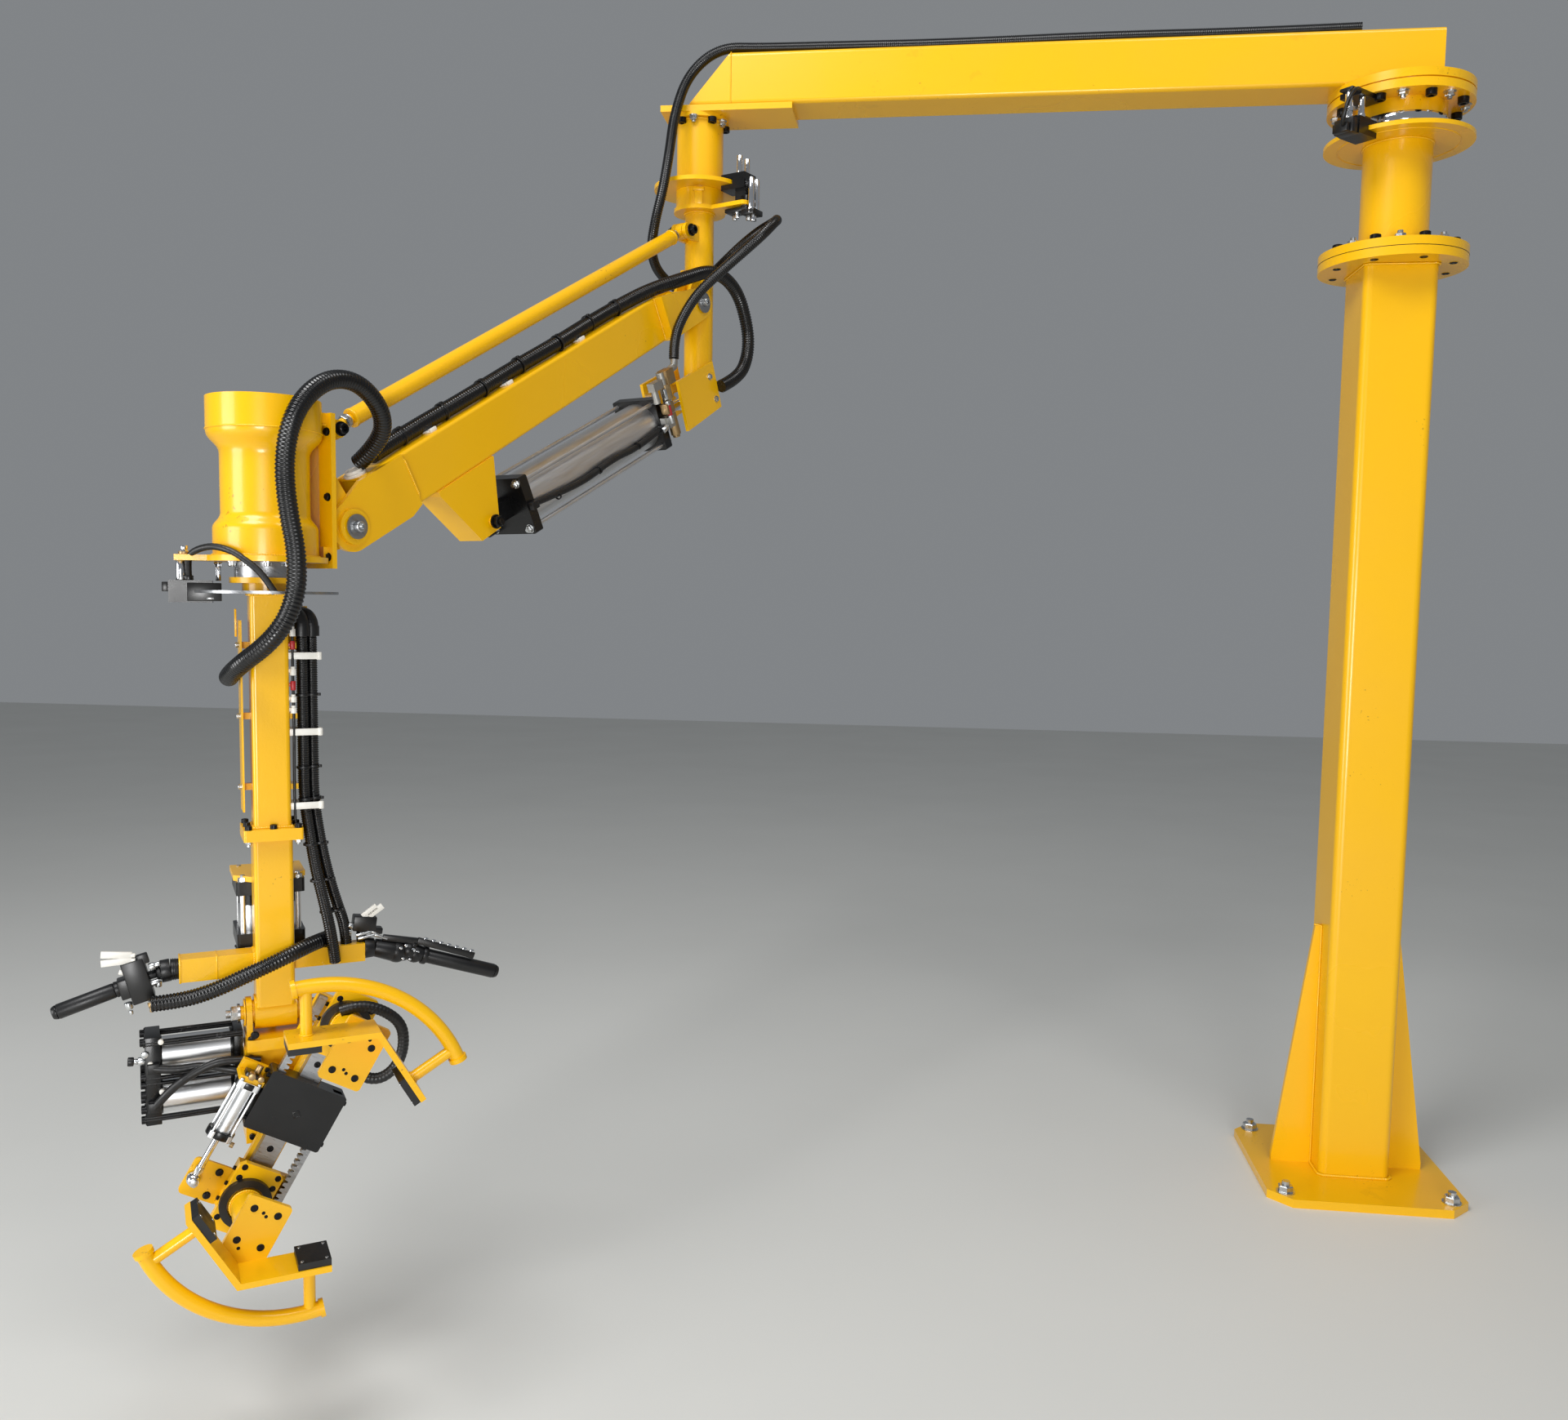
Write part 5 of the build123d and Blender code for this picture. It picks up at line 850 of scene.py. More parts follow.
addBolts("bracketBolts", "mast", "zincPlate", "hexHead", [
    (4, 72, -628, (0, 1, 0), 17), (40, 72, -566, (0, 1, 0), 17),
])
buildShape("tiePinWashers", "mast", {"finish": "zincPlate", "bevelMm": 0.5, "parts": [
    ("ring", (87, 14.2, -135), (0, 1, 0), 17, 10.2, 3), ("ring", (87, -17.2, -135), (0, 1, 0), 17, 10.2, 3),
]})
addWeld("yokeWeld", "mast", circlePoints(46, -68))
addWeld("mastFootWeld", "mast", circlePoints(46, -567))
print("boom and mast dressed")

# Arm: pin plates and screws, ties and seats of the hose, weld beads and the end clip
buildShape("pinPlates", "arm", {"finish": "groundSteel", "bevelMm": 0.8, "parts": [
    ("ring", (along, side * (out - 1), 0), (0, side, 0), radius, 12, 4)
    for along, out, radius in ((0, 71, 31), (1500, 64, 28)) for side in (-1, 1)
]})
addBolts("pinSockets", "arm", "zincPlate", "capScrew", [
    (along, side * out, 0, (0, side, 0), 24) for along, out in ((0, 72), (1500, 65)) for side in (-1, 1)
])
hoseTies = ((1230, -2), (1080, 0), (930, 2), (770, -4), (610, 6), (450, -6), (330, 2))
buildShape("hoseTies", "arm", {"finish": "mouldedPlastic", "bevelMm": 0.5, "parts": [
    part for along, side in hoseTies
    for part in (
        ("ring", (along - 2.5, side, 101), (1, 0, 0), 23, 19.5, 6), ("box", (along, side + 8, 123), (7, 8, 7)),
    )
]})
buildShape("hoseSeats", "arm", {"finish": "whiteNylon", "bevelMm": 0.8, "parts": [
    part for along in (1150, 850, 530)
    for part in (
        ("box", (along, 0, 82), (26, 40, 5)), ("box", (along, 24, 84), (22, 6, 9)),
    )
]})
beamEdge = ((39, -44), (39, 77), (-39, 77), (-39, -44), (39, -44))
addWeld("forkWeld", "arm", [(191, y, z) for y, z in beamEdge])
cheekEdge = ((39, -42), (50, -20), (50, 60), (39, 78))
for weldName, side in (("cheekWeldLeft", -1), ("cheekWeldRight", 1)):
    addWeld(weldName, "arm", [(1288, side * y, z) for y, z in cheekEdge])
addWeld("bracketWeld", "arm", [(1012, 34, -49), (1220, 34, -49)])
addBolts("capPinNuts", "arm", "blackOxide", "nutOnStud", [
    (1095, 52, -188, (0, 1, 0), 30), (1095, -52, -188, (0, -1, 0), 30),
])
buildShape("armEndClip", "arm", {"finish": "whiteNylon", "bevelMm": 1.2, "parts": [
    ("rod", (1396, 0, 79), (1396, 0, 86), 26), ("ring", (1396, 0, 86), (0, 0, 1), 21, 12, 7),
    ("box", (1396, 0, 88), (34, 12, 10)),
]})

# Tie rod: lock nuts and collars at both rod ends
buildShape("lockNuts", "tie_rod", {"finish": "zincPlate", "bevelMm": 1.0, "parts": [
    part for x in (44, 1448)
    for part in (
        ("rod", (x - 6, 0, 0), (x + 8, 0, 0), 17, 6), ("ring", (x + 8, 0, 0), (1, 0, 0), 15, 10.9, 3),
    )
]})
buildShape("rodEndCollars", "tie_rod", {"finish": "powderCoatYellow", "bevelMm": 1.5, "parts": [
    ("ring", (x - 3, 0, 0), (1, 0, 0), 22.5, 10.9, 7) for x in (66, 1434)
]})

# Balance cylinder: nuts, plugs, knobs, valve fittings and ties
corners = [(y, z) for y in (-61, 61) for z in (-61, 61)]
for boltName, x, out in (("capHeadNuts", 98, -1), ("rodHeadNuts", 744, 1)):
    addBolts(boltName, "barrel", "zincPlate", "nutOnStud", [
        (x, y, z, (out, 0, 0), 20) for y, z in corners
    ])
buildShape("cylinderPortPlugs", "barrel", {"finish": "zincPlate", "bevelMm": 0.8, "parts": [
    ("rod", (82, -44, 12), (98, -44, 12), 13, 6), ("rod", (72, -44, 12), (82, -44, 12), 8),
    ("rod", (113, 76, 2.7), (113, 86, 2.7), 10, 6), ("rod", (713, 76, 10.6), (713, 88, 10.6), 11, 6),
]})
buildShape("cylinderKnobs", "barrel", {"finish": "mouldedPlastic", "bevelMm": 2.0, "parts": [
    ("rod", (70, -50, 40), (98, -50, 40), 12), ("rod", (64, -60, 64), (98, -60, 64), 7),
    ("box", (113, 84, 2.7), (24, 18, 20)), ("box", (713, 84, 10.6), (26, 20, 22)),
]})
buildShape("valveBrass", "barrel", {"finish": "turnedBrass", "bevelMm": 1.2, "parts": [
    ("box", (776, 96, -122), (38, 32, 42)), ("rod", (758, 96, -62), (758, 96, -104), 16, 6),
    ("rod", (758, 90, -20), (758, 90, 44), 15), ("rod", (758, 90, 44), (758, 90, 52), 12, 6),
    ("box", (742, 96, -40), (34, 26, 30)),
]})
buildShape("valveConnectors", "barrel", {"finish": "zincPlate", "bevelMm": 0.8, "parts": [
    ("rod", (738, 104, -96), (738, 104, -66), 7.5, 6), ("rod", (738, 104, -62), (738, 104, -50), 8.5),
    ("rod", (736, 104, -20), (736, 104, 4), 8), ("rod", (700, 92, 14), (720, 96, 8), 9, 6),
]})
buildShape("valveSleeve", "barrel", {"finish": "redSleeve", "bevelMm": 0.8, "parts": [
    ("rod", (737, 104, -50), (737, 104, -20), 7),
]})
buildShape("cylinderHoseTies", "barrel", {"finish": "mouldedPlastic", "bevelMm": 0.5, "parts": [
    part for along in (215, 400, 590)
    for part in (
        ("ring", (along, 75, 18), (1, 0, -0.03), 11.5, 9.2, 5), ("box", (along + 3, 66, 22), (8, 6, 6)),
    )
]})
addBolts("bracketNut", "rod", "blackOxide", "capScrew", [(802, 26, 0, (0, 1, 0), 22)])
print("arm and cylinder dressed")

# Wrist: bearing bolts, third brake's fittings and hose, plate bolts and weld beads
addBolts("bearingCaps", "wrist", "zincPlate", "washerCap", [
    (72 * math.cos(a), 72 * math.sin(a), -85.2, (0, 0, -1), 17)
    for a in (math.radians(15 + 36 * k) for k in range(10))
], frameName="tool")
buildShape("brake3Studs", "wrist", {"frame": "brake3", "finish": "hardChrome", "bevelMm": 0.6, "parts": [
    *[
        part for x, y, low, high in ((96, -14, -126, -86), (160, 6, -126, -62))
        for part in (
            ("rod", (x, y, low), (x, y, high), 5.5), ("rod", (x, y, -96), (x, y, -86), 9.5, 6),
            ("rod", (x, y, -73), (x, y, -64), 9.5, 6),
        )
    ],
    ("rod", (160, 6, -62), (160, 6, -54), 7.5),
    *[("rod", (167, y, -125.5), (167, y, -85.5), 9.5) for y in (-20, 20)],
    ("rod", (104, 31.5, -163), (118, 31.5, -163), 3),
]})
buildShape("brake3Collar", "wrist", {"frame": "brake3", "finish": "turnedBrass", "bevelMm": 0.6, "parts": [
    ("rod", (160, 6, -72.5), (160, 6, -66), 12), ("ring", (160, 6, -85), (0, 0, 1), 11, 5.6, 4),
]})
buildShape("brake3Block", "wrist", {"frame": "brake3", "finish": "anodisedBlack", "bevelMm": 1.5, "parts": [
    ("box", (196, 4, -140), (14, 50, 20)), ("box", (122, 31, -150), (66, 5, 38)),
    ("rod", (152, 20, -126), (152, 20, -116), 9.5),
]})
layHose("brake3Hose", {
    "body": "wrist", "frame": "brake3", "diameter": 14, "pitch": 9, "depth": 0.03,
    "finish": "nitrileRubber", "lay": "hanging", "stiffness": "stiff",
    "route": [
        (152, 20, -118), (153, 28, -92), (148, 40, -72), (128, 58, -60), (100, 78, -55), (64, 104, -66),
        (30, 122, -92), (6, 128, -116), (-14, 136, -150),
    ],
})
addBolts("wristPlateBolts", "wrist", "blackOxide", "hexHead", [
    (76, y, z, (1, 0, 0), 16) for y in (-62, 62) for z in (-70, 60, 200)
])
addWeld("housingSeamTop", "wrist", circlePoints(116, 190), {"width": 4, "pitch": 6, "depth": 0.1}, frameName="tool")
addWeld("housingFootWeld", "wrist", circlePoints(107, -72), frameName="tool")
addWeld("shelfWeld", "wrist", [(78, 61, 214), (150, 61, 214)])
addBolts("wristTiePin", "wrist", "blackOxide", "washerCap", [
    (15, 34, 215, (0, 1, 0), 24), (15, -34, 215, (0, -1, 0), 24),
])
print("wrist dressed")

# Tool tube: flange bolts, straps, ties, connectors, side tube, elbows and brackets
flangeHoles = [(x, y) for x in (-50, 50) for y in (-50, 0, 50)]
addBolts("toolFlangeCaps", "tool_mast", "blackOxide", "capScrew", [
    (x, y, -653.5, (0, 0, 1), 15) for x, y in flangeHoles + [(0, -50), (0, 50)]
])
addBolts("toolFlangeUnder", "tool_mast", "zincPlate", "nutOnStud", [
    (x, y, -678.5, (0, 0, -1), 14) for x, y in flangeHoles
])
buildShape("toolStraps", "tool_mast", {"finish": "whiteNylon", "bevelMm": 1.5, "parts": [
    part for z in (-284, -449, -610)
    for part in (
        ("box", (70, -29.5, z), (66, 4, 15)), ("box", (70, 19.5, z), (66, 4, 15)),
        ("box", (102.5, -5, z), (4, 50, 15)), ("box", (44, -5, z), (12, 50, 15)),
        ("rod", (100, -29.5, z - 8.5), (100, -29.5, z + 8.5), 5.5),
    )
]})
toolTies = (
    (77, -4, -372), (77, -5, -530), (80, -6, -600), (88, -10, -700), (100, -20, -780), (118, -26, -850),
)
buildShape("toolTies", "tool_mast", {"finish": "mouldedPlastic", "bevelMm": 0.5, "parts": [
    part for x, y, z in toolTies
    for part in (
        ("ring", (x - 10.5, y - 7, z), (0, 0, 1), 15, 12.3, 5),
        ("ring", (x + 11, y + 8, z), (0, 0, 1), 15, 12.3, 5), ("box", (x + 25, y + 2, z + 2.5), (7, 6, 6)),
    )
]})
buildShape("sideConnectors", "tool_mast", {"finish": "whiteNylon", "bevelMm": 0.8, "parts": [
    part for z, height in ((-226, 16), (-312, 14), (-372, 12), (-396, 12))
    for part in (
        ("rod", (46, -30, z - height), (46, -30, z), 6.5), ("rod", (46, -30, z), (46, -30, z + 5), 4.5),
        ("box", (42, -26, z - 4), (10, 8, 8)),
    )
]})
buildShape("sideSleeves", "tool_mast", {"finish": "redSleeve", "bevelMm": 0.8, "parts": [
    part for z, height in ((-252, 18), (-338, 20))
    for part in (
        ("rod", (46, -30, z - height), (46, -30, z), 5.5), ("box", (42, -26, z - 8), (10, 8, 8)),
    )
]})
layHose("sideTube", {
    "body": "tool_mast", "diameter": 6, "pitch": 9, "depth": 0.02,
    "finish": "nitrileRubber", "lay": "taut", "sides": 10,
    "route": [(46, -30, -208), (45, -31, -300), (47, -30, -420), (45, -29, -560), (46, -30, -640)],
})


elbow = {"startZ": -222, "across": 13, "back": 26, "rise": 26, "steps": 8}


def elbowParts(x, y, radius, s):
    # a quarter bend from the sleeve to the back of the tube, with a collar at each end
    bend = []
    for k in range(s["steps"] + 1):
        a = math.radians(90 * k / s["steps"])
        out = 1 - math.cos(a)
        bend.append((x - s["across"] * out, y + s["back"] * out, s["startZ"] + s["rise"] * math.sin(a)))
    parts = []
    for start, end in zip(bend, bend[1:]):
        parts += [("rod", start, end, radius, 18), ("ball", end, radius)]
    return parts + [
        ("rod", (x, y, s["startZ"] - 20), (x, y, s["startZ"] + 2), radius + 1.5, 18),
        ("rod", (x - 13, y + 26, -196), (x - 22, y + 44, -198), radius + 1, 18),
    ]


buildShape("hoseElbows", "tool_mast", {"finish": "mouldedPlastic", "bevelMm": 0, "parts": [
    *elbowParts(66.75, -10, 17, elbow), *elbowParts(87.75, 4.5, 16, elbow),
]})
buildShape("sideBrackets", "tool_mast", {"finish": "powderCoatYellow", "bevelMm": 1.0, "parts": [
    ("box", (62, 52, -226), (48, 4, 96)), ("box", (42, 48, -226), (8, 10, 96)),
    ("box", (-62, 36, -215), (4, 12, 60)),
]})
addBolts("trayScrews", "tool_mast", "zincPlate", "capScrew", [
    (-58, 8, z, (-1, 0, 0), 12) for z in (-262, -414, -567)
])
tubeEdge = ((39, -39), (-39, -39), (-39, 39), (39, 39), (39, -39))
for weldName, z in (("tubeHeadWeld", -154), ("tubeFootWeld", -652)):
    addWeld(weldName, "tool_mast", [(x, y, z) for x, y in tubeEdge])

# Tilt cylinder behind the lower tube: tie rods, bright sleeve and nuts
tiltCorners = [(x, y) for x in (-57, 57) for y in (56, 170)]
buildShape("tiltTieRods", "tool_mast", {"finish": "drawnStainlessTube", "bevelMm": 0, "parts": [
    ("rod", (x, y, -927), (x, y, -813), 6.5) for x, y in tiltCorners
]})
buildShape("tiltBarrelSleeve", "tool_mast", {"finish": "drawnStainlessTube", "bevelMm": 0.5, "parts": [
    ("ring", (0, 113, -926), (0, 0, 1), 64.2, 62, 84, 64),
]})
for boltName, finish, z, up in (("tiltHeadNuts", "zincPlate", -785, 1), ("tiltFootNuts", "blackOxide", -957, -1)):
    addBolts(boltName, "tool_mast", finish, "nutOnStud", [(x, y, z, (0, 0, up), 20) for x, y in tiltCorners])

# Left handle: gland, valve box, grip, thumb tabs and fittings
buildShape("leftGland", "tool_mast", {"finish": "mouldedPlastic", "bevelMm": 1.2, "parts": [
    ("rod", (-190, 0, -951), (-206, 0, -951), 22, 28), ("rod", (-206, 0, -951), (-224, 0, -953), 24.5, 12),
    ("rod", (-224, 0, -953), (-234, 0, -956), 20, 28, 13), ("rod", (-232, 0, -956), (-262, 0, -962), 9),
    *[("ring", (-196 - 4 * k, 0, -951), (-1, 0, 0), 23.4, 21, 1.6, 28) for k in range(5)],
]})
tiltLeft = Matrix.Rotation(math.radians(-15), 4, "Y")
buildShape("leftValveBox", "tool_mast", {"finish": "anodisedBlack", "bevelMm": 2.5, "parts": [
    ("box", (-268, 0, -965), (44, 44, 92), tiltLeft), ("box", (-286, 0, -978), (36, 38, 42), tiltLeft),
    ("box", (-258, -14, -918), (22, 14, 22), tiltLeft), ("box", (-246, 0, -996), (14, 34, 30), tiltLeft),
]})


def gripParts(start, along, stages):
    # round pieces in a row from one point: how far each reaches, its radius and the radius at its end
    start, along, near, parts = Vector(start), Vector(along).normalized(), 0, []
    for far, radius, endRadius in stages:
        parts.append(("rod", start + along * near, start + along * far, radius, 28, endRadius))
        near = far
    return parts


buildShape("leftGrip", "tool_mast", {"finish": "mouldedPlastic", "bevelMm": 2.5, "parts": gripParts(
    (-296, 0, -978), (-1, 0, -0.31), ((16, 15, 17.5), (128, 16, 16), (138, 16, 12)),
)})
buildShape("leftThumbTabs", "tool_mast", {"finish": "whiteNylon", "bevelMm": 1.2, "parts": [
    barAlong((-278, -16, -908), (-336, -16, -901), (58, 14, 7.5)), ("rod", (-272, -16, -909), (-280, -16, -908), 4.5),
    barAlong((-278, -16, -918), (-336, -16, -920), (58, 14, 7.5)), ("rod", (-272, -16, -919), (-280, -16, -918), 4.5),
    ("rod", (-294, -14, -944), (-303, -14, -941), 6),
]})
leftFittingsRods = (
    ((-246, -14, -938), (-236, -14, -935), 8.5), ((-236, -14, -935), (-226, -14, -932), 6),
    ((-243, -12, -974), (-228, -12, -970), 7), ((-229, -12, -970), (-229, -12, -982), 6.5),
    ((-252, -12, -1006), (-240, -12, -1002), 6.5), ((-288, -8, -1010), (-285, -8, -1024), 8),
    ((-283, -8, -1028), (-282, -8, -1036), 4.5), ((-298, -12, -944), (-292, -12, -926), 2),
)
buildShape("leftFittings", "tool_mast", {"finish": "zincPlate", "bevelMm": 1.0, "parts": [
    ("rod", a, b, r, 12) for a, b, r in leftFittingsRods
]})
buildShape("leftBrass", "tool_mast", {"finish": "turnedBrass", "bevelMm": 0.8, "parts": [
    ("rod", (-250, -28, -1016), (-236, -28, -1012), 6.5, 6), ("rod", (-243, -28, -1014), (-243, -28, -1030), 4.5),
]})

# Right handle: gland with ball joint, grip, lever with its teeth, valve box, thumb tabs and fittings
buildShape("rightGland", "tool_mast", {"finish": "mouldedPlastic", "bevelMm": 1.2, "parts": [
    ("rod", (190, 0, -946), (212, 0, -947), 24, 28, 21), ("rod", (212, 0, -947), (262, 0, -962), 20, 28, 24),
    *[("ball", (x, 0, z), r) for x, z, r in ((262, -962, 25), (276, -966, 19), (288, -962, 22), (302, -972, 20))],
    ("rod", (296, 0, -965), (322, 0, -976), 19, 28, 18),
]})
buildShape("rightGrip", "tool_mast", {"finish": "mouldedPlastic", "bevelMm": 2.5, "parts": gripParts(
    (318, 0, -975), (1, 0, -0.35), ((12, 21, 21), (176, 16.5, 16.5), (186, 16.5, 12)),
)})
lever = barAlong((304, -8, -938), (440, -8, -990), (138, 15, 11))
leverTurn = lever[-1]
buildShape("rightLever", "tool_mast", {"finish": "anodisedBlack", "bevelMm": 2.0, "parts": [
    lever, barAlong((232, -6, -925), (330, -6, -946), (102, 14, 12)), ("rod", (290, -8, -968), (302, -8, -944), 8),
]})
leverPins = (
    (268, -22, -950, 4), (280, -20, -946, 4), (296, -20, -958, 5), (306, -18, -964, 4), (272, -24, -974, 3.5),
    (288, -21, -978, 3),
)
buildShape("leverTeeth", "tool_mast", {"finish": "hardChrome", "bevelMm": 0.8, "parts": [
    *[("box", (326 + 17.5 * k, -8, -941 - 6.5 * k), (9, 13, 5), leverTurn) for k in range(7)],
    *[("rod", (x, y + 6, z), (x, y, z), r, 10) for x, y, z, r in leverPins],
]})
tiltRight = Matrix.Rotation(math.radians(8), 4, "Y")
buildShape("rightValveBox", "tool_mast", {"finish": "anodisedBlack", "bevelMm": 2.5, "parts": [
    ("box", (192, 6, -890), (50, 34, 34), tiltRight), ("box", (214, 6, -908), (34, 28, 14), tiltRight),
    ("rod", (186, 6, -906), (186, 6, -932), 11),
]})
buildShape("rightThumbTabs", "tool_mast", {"finish": "whiteNylon", "bevelMm": 1.2, "parts": [
    barAlong((188 + shift, -4, -873), (218 + shift, -4, -852), (38, 14, 8)) for shift in (0, 13)
]})
rightFittingsRods = (
    ((166, -4, -892), (156, -4, -890), 7.5), ((162, -4, -904), (154, -4, -906), 6),
    ((158, -4, -898), (158, -4, -914), 5), ((172, -8, -914), (206, -8, -908), 3.5),
    ((206, -8, -908), (222, -8, -918), 3.5), ((176, -10, -922), (212, -10, -916), 3.5),
    ((212, -10, -916), (240, -10, -928), 3.5),
)
buildShape("rightFittings", "tool_mast", {"finish": "zincPlate", "bevelMm": 0.8, "parts": [
    ("rod", a, b, r, 12) for a, b, r in rightFittingsRods
]})
handlePieces = (
    "leftGland", "leftValveBox", "leftGrip", "leftThumbTabs", "leftFittings", "leftBrass", "rightGland", "rightGrip",
    "rightLever", "leverTeeth", "rightValveBox", "rightThumbTabs", "rightFittings",
)
for pieceName in handlePieces:
    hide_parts("handle_controls")
buildShape("armEndCaps", "tool_mast", {"finish": "powderCoatYellow", "bevelMm": 1.0, "parts": [
    ("box", (-116, 0, -951), (3, 52.5, 52.5)), ("box", (-188, 0, -951), (4, 53, 53)),
]})
armEdge = ((-25, -926), (25, -926), (25, -976), (-25, -976), (-25, -926))
addWeld("leftArmWeld", "tool_mast", [(-41, y, z) for y, z in armEdge])
print("tool mast dressed")

# Tilt head: pin nuts, bolts, twin cylinders' heads, tie rods, knobs and plugs
addBolts("tiltPinNuts", "tilt_head", "zincPlate", "nutOnStud", [
    (-74, 0, -1063, (-1, 0, 0), 34), (74, 0, -1063, (1, 0, 0), 34),
])
addBolts("headPlateBolts", "tilt_head", "blackOxide", "hexHead", [
    (-46, -64, -1096, (0, -1, 0), 15), (46, -64, -1096, (0, -1, 0), 15),
] + [(x, y, -1108, (0, 0, 1), 14) for x in (-52, 52) for y in (-52, 48)])
buildShape("cheekRings", "tilt_head", {"finish": "powderCoatYellow", "bevelMm": 1.0, "parts": [
    ("ring", (side * 61, 0, -1063), (side, 0, 0), 30, 17, 3) for side in (-1, 1)
]})
middle = -1183
buildShape("twinTieRods", "tilt_head", {"finish": "powderCoatBlack", "bevelMm": 0, "parts": [
    part for z in (-84, -79, -6, 6, 79, 84)
    for part in (
        ("rod", (-68, -18, middle + z), (-262, -18, middle + z), 4.5, 10),
        ("rod", (-68, 58, middle + z), (-262, 58, middle + z), 4.5, 10),
    )
]})
buildShape("twinHeads", "tilt_head", {"finish": "powderCoatBlack", "bevelMm": 2.0, "parts": [
    ("box", (-244, 20, middle), (30, 84, 190)), *[("box", (-76, 20, middle + z), (18, 78, 82)) for z in (-47, 47)],
    *[("ring", (-92, 20, middle + z), (1, 0, 0), 37.5, 35.2, 8, 48) for z in (-47, 47)],
    *[("ring", (-234, 20, middle + z), (1, 0, 0), 37.5, 35.2, 8, 48) for z in (-47, 47)],
]})
addBolts("twinKnobs", "tilt_head", "blackOxide", "washerCap", [
    (-259, y, middle + z, (-1, 0, 0), 17) for y in (-12, 52) for z in (-84, -62, -30, -8, 8, 84)
])
twinValveStemRods = (
    ((-259, -10, middle + 44), (-272, -10, middle + 44), 9),
    ((-272, -10, middle + 44), (-280, -10, middle + 45), 6),
    ((-259, -22, middle + 62), (-259, -30, middle + 62), 7),
)
buildShape("twinValveStem", "tilt_head", {"finish": "zincPlate", "bevelMm": 0.8, "parts": [
    ("rod", a, b, r, 12) for a, b, r in twinValveStemRods
]})
buildShape("twinValveKnob", "tilt_head", {"finish": "mouldedPlastic", "bevelMm": 2.0, "parts": [
    ("rod", (-280, -10, middle + 45), (-292, -10, middle + 46), 9.5),
    *[("box", (-243, -30, middle + z), (24, 16, 22)) for z in (31, -53)],
]})
buildShape("twinPlugs", "tilt_head", {"finish": "whiteNylon", "bevelMm": 1.0, "parts": [
    ("rod", (x, y + 8, z), (x, y - 4, z), 5.5, 12)
    for x, y, z in ((-249, -26, -1143.7), (-228, -26, -1206), (-249, -26, -1241), (-228, -25, -1098))
]})
addBolts("actuatorScrews", "tilt_head", "blackOxide", "capScrew", [
    (x, -45, z, (0, -1, 0), 13) for x in (-54, 68) for z in (-1150, -1215, -1325)
])
print("tilt head dressed")

# Gripper: rail and block screws, the jaw cylinder's ties, heads and fittings, and the sensor's bracket
addBolts("railScrews", "gripper", "blackOxide", "capScrew", [
    (x, 0, 30, (0, 0, 1), 12) for x in (-196, -98, 98, 196)
])
addBolts("barEndScrews", "gripper", "blackOxide", "capScrew", [
    (x, y, 16, (0, 0, 1), 9) for x in (-205, 205) for y in (-27, 27)
])
buildShape("blockTrim", "gripper", {"finish": "powderCoatBlack", "bevelMm": 0.6, "parts": [
    ("ring", (-4, -4, 73.6), (0, 0, 1), 10, 6.5, 1.4, 4),
]})
addBolts("blockSideScrews", "gripper", "blackOxide", "capScrew", [
    (x, side * 85, z, (0, side, 0), 10) for x in (-48, 48) for z in (30, 60) for side in (-1, 1)
])
buildShape("jawCylinderTies", "gripper", {"finish": "drawnStainlessTube", "bevelMm": 0, "parts": [
    ("rod", (18, y, z), (-106, y, z), 3, 10) for y, z in ((93, 27), (131, 27), (93, 65), (131, 65))
]})
buildShape("jawCylinderHeads", "gripper", {"finish": "powderCoatBlack", "bevelMm": 1.2, "parts": [
    ("ring", (6.5, 112, 46), (1, 0, 0), 27, 21.2, 13, 40), ("ring", (-107, 112, 46), (1, 0, 0), 29, 21.2, 16, 40),
    ("box", (30, 112, 46), (18, 34, 34)),
]})
buildShape("jawCylinderFittings", "gripper", {"finish": "turnedBrass", "bevelMm": 0.8, "parts": [
    ("rod", (36, 118, 60), (36, 118, 78), 8, 6), ("rod", (36, 98, 60), (36, 98, 74), 7, 6),
    ("rod", (42, 108, 52), (58, 108, 52), 7, 12), ("rod", (20, 84, 46), (20, 76, 46), 6, 6),
    ("rod", (-112, 84, 54), (-112, 76, 56), 6, 6),
]})
addBolts("jawCylinderNuts", "gripper", "zincPlate", "capScrew", [
    (20, y, z, (1, 0, 0), 9) for y, z in ((93, 27), (131, 27), (93, 65), (131, 65))
])
buildShape("sensorBracket", "gripper", {"finish": "powderCoatYellow", "bevelMm": 1.5, "parts": [
    ("box", (48, 70, 30), (24, 22, 28)),
]})
print("gripper dressed")

# Jaws: the same fittings on both, so one function dresses them
jaw = {
    "tubeAt": 205, "tubeWeld": 31,  # where the arm tube stands, and its bead's radius
    "apexAt": 258, "strutAngle": 60,  # the V's point and the slope of its legs
    "strutRadius": 12, "strutFoot": 128, "strutZ": 288.5,
    "screwsAlong": (112, 158), "screwsIn": 15, "screwsZ": (258, 320),  # the pads' screws, measured from the V's point
    "strutWeld": {"width": 4, "pitch": 4, "depth": 0.14},
}


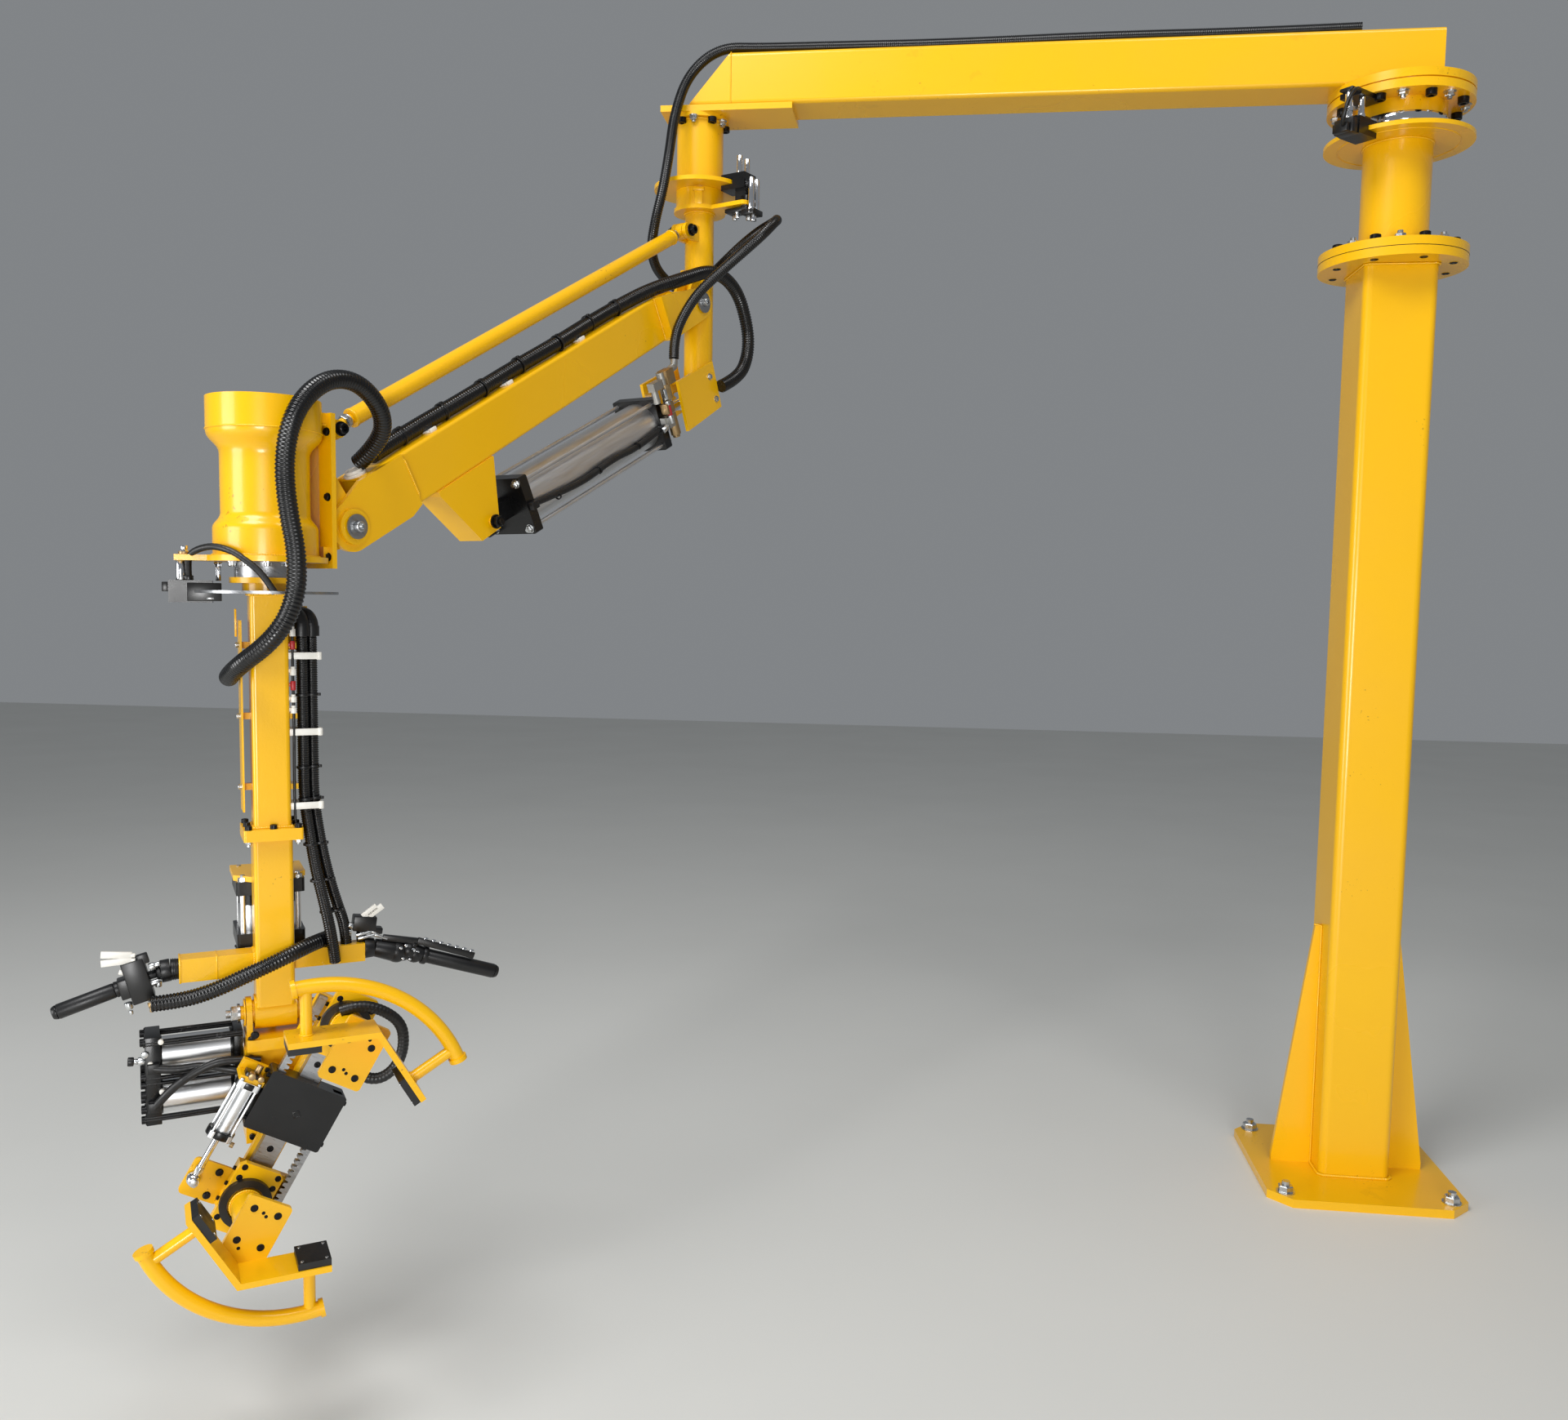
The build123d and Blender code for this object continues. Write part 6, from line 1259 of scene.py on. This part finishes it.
def dressJaw(prefix, body, s):
    # bolts, pins, weld beads and pad screws of one jaw
    for name, kind, items, size in (
        ("PlateBolts", "sunkHead", [(x, y, 74.5, (0, 0, 1)) for x in (139, 162, 226, 250) for y in (-37, 37)], 13),
        ("FrontBolts", "sunkHead", [(x, y, 244.5, (0, 0, 1)) for x in (150, 217) for y in (-25, 25)], 15),
        ("FrontPins", "sunkHead", [(x, y, 244.5, (0, 0, 1)) for x, y in ((153, -4), (158, 4), (231, -14))], 7),
        ("CarriageScrews", "capScrew", [(x, y * 46, 46, (0, y, 0)) for x in (156, 190, 224) for y in (-1, 1)], 9),
    ):
        addBolts(prefix + name, body, "blackOxide", kind, [(*item, size) for item in items])
    for name, z in (("ArmWeldFront", 233), ("ArmWeldBack", 90)):
        addWeld(prefix + name, body, circlePoints(s["tubeWeld"], z, 40, (s["tubeAt"], 0)))
    lean, radius = math.radians(s["strutAngle"]), s["strutRadius"]
    screws = []
    for name, side in (("StrutWeldA", -1), ("StrutWeldB", 1)):
        legX, legY = math.cos(lean), math.sin(lean) * side
        outX, outY = math.sin(lean), math.cos(lean) * side
        footX = s["apexAt"] - s["strutFoot"] * legX + radius * outX
        footY = s["strutFoot"] * legY + radius * outY
        bend = [(radius * math.cos(a), radius * math.sin(a)) for a in (2 * math.pi * k / 28 for k in range(29))]
        ring = [(footX + u * -legX + outX, footY + u * legY + outY, s["strutZ"] + v) for u, v in bend]
        addWeld(prefix + name, body, ring, s["strutWeld"])
        for near in s["screwsAlong"]:
            x = s["apexAt"] - near * legX - s["screwsIn"] * outX
            y = near * legY - s["screwsIn"] * outY
            screws += [("rod", (x + 1.5, y + side, z), (x, y, z), 3.5, 12) for z in s["screwsZ"]]
    buildShape(prefix + "PadScrews", body, {"finish": "zincPlate", "bevelMm": 0.4, "parts": screws})


dressJaw("lowerJaw", "lower_jaw", jaw)
dressJaw("upperJaw", "upper_jaw", jaw)
addBolts("wingBolts", "lower_jaw", "blackOxide", "hexHead", [
    (x, -68, 30.5, (0, 0, 1), 14) for x in (180, 232)
])
buildShape("rodEndNuts", "lower_jaw", {"frame": "gripper", "finish": "zincPlate", "bevelMm": 0.8, "parts": [
    ("rod", (-205, 112, 58), (-205, 112, 70), 9, 6), ("rod", (-176, 112, 46), (-190, 112, 46), 9.5, 6),
    ("ring", (-205, 112, 34), (0, 0, 1), 13, 9.2, 4),
]})
layHose("upperLoop", {
    "body": "upper_jaw", "diameter": 24, "pitch": 8, "depth": 0.04,
    "finish": "nitrileRubber", "lay": "hanging", "stiffness": "stiff",
    "route": [
        (232, 30, 98), (258, 6, 104), (270, -44, 108), (260, -98, 108), (218, -128, 108), (172, -136, 107),
        (136, -120, 106), (124, -88, 104), (134, -62, 98), (158, -44, 86),
    ],
})
print("jaws dressed")


# Stage: plain pale floor and soft light from above
def addFloor(s):
    bpy.ops.mesh.primitive_plane_add(size=s["size"], location=s["place"])
    floor = bpy.context.object
    floor.name = "floor"
    floor.data.materials.append(makeFinish("floorGrey", s["finish"]))


def addLight(name, s):
    data = bpy.data.lights.new(name, "AREA")
    data.energy = s["power"]
    data.size = s["size"]
    light = bpy.data.objects.new(name, data)
    bpy.context.scene.collection.objects.link(light)
    light.location = s["place"]
    light.rotation_euler = (Vector(s["aim"]) - Vector(s["place"])).to_track_quat("-Z", "Y").to_euler()


addFloor({"size": 30, "place": (-1, -1, 0), "finish": {
    "colour": "DCDCD8", "second": "D4D4D0", "mottleMm": 900, "rough": 0.7, "roughSpread": 0.05,
    "bumpMm": 20, "bumpStrength": 0.03,
}})
addLight("ceilingLeft", {"place": (-3.4, -3.6, 6.2), "aim": (-2.4, -0.8, 1.5), "power": 205, "size": 2.4})
addLight("ceilingRight", {"place": (0.8, -3.4, 7.0), "aim": (-0.4, 0, 1.2), "power": 90, "size": 2.4})
addLight("sideFill", {"place": (-6.2, -5.0, 1.6), "aim": (-1.4, -0.5, 1.0), "power": 150, "size": 2.6})
addLight("frontFill", {"place": (-0.6, -7.2, 1.2), "aim": (-1.4, -0.5, 1.0), "power": 170, "size": 1.6})
world = bpy.data.worlds.new("world")
world.use_nodes = True
sky = world.node_tree.nodes["Background"]
sky.inputs["Color"].default_value = hexColour("888B8E")
sky.inputs["Strength"].default_value = 0.9
bpy.context.scene.world = world
bpy.context.scene.view_settings.view_transform = "Standard"
print("stage set")

writeSize()
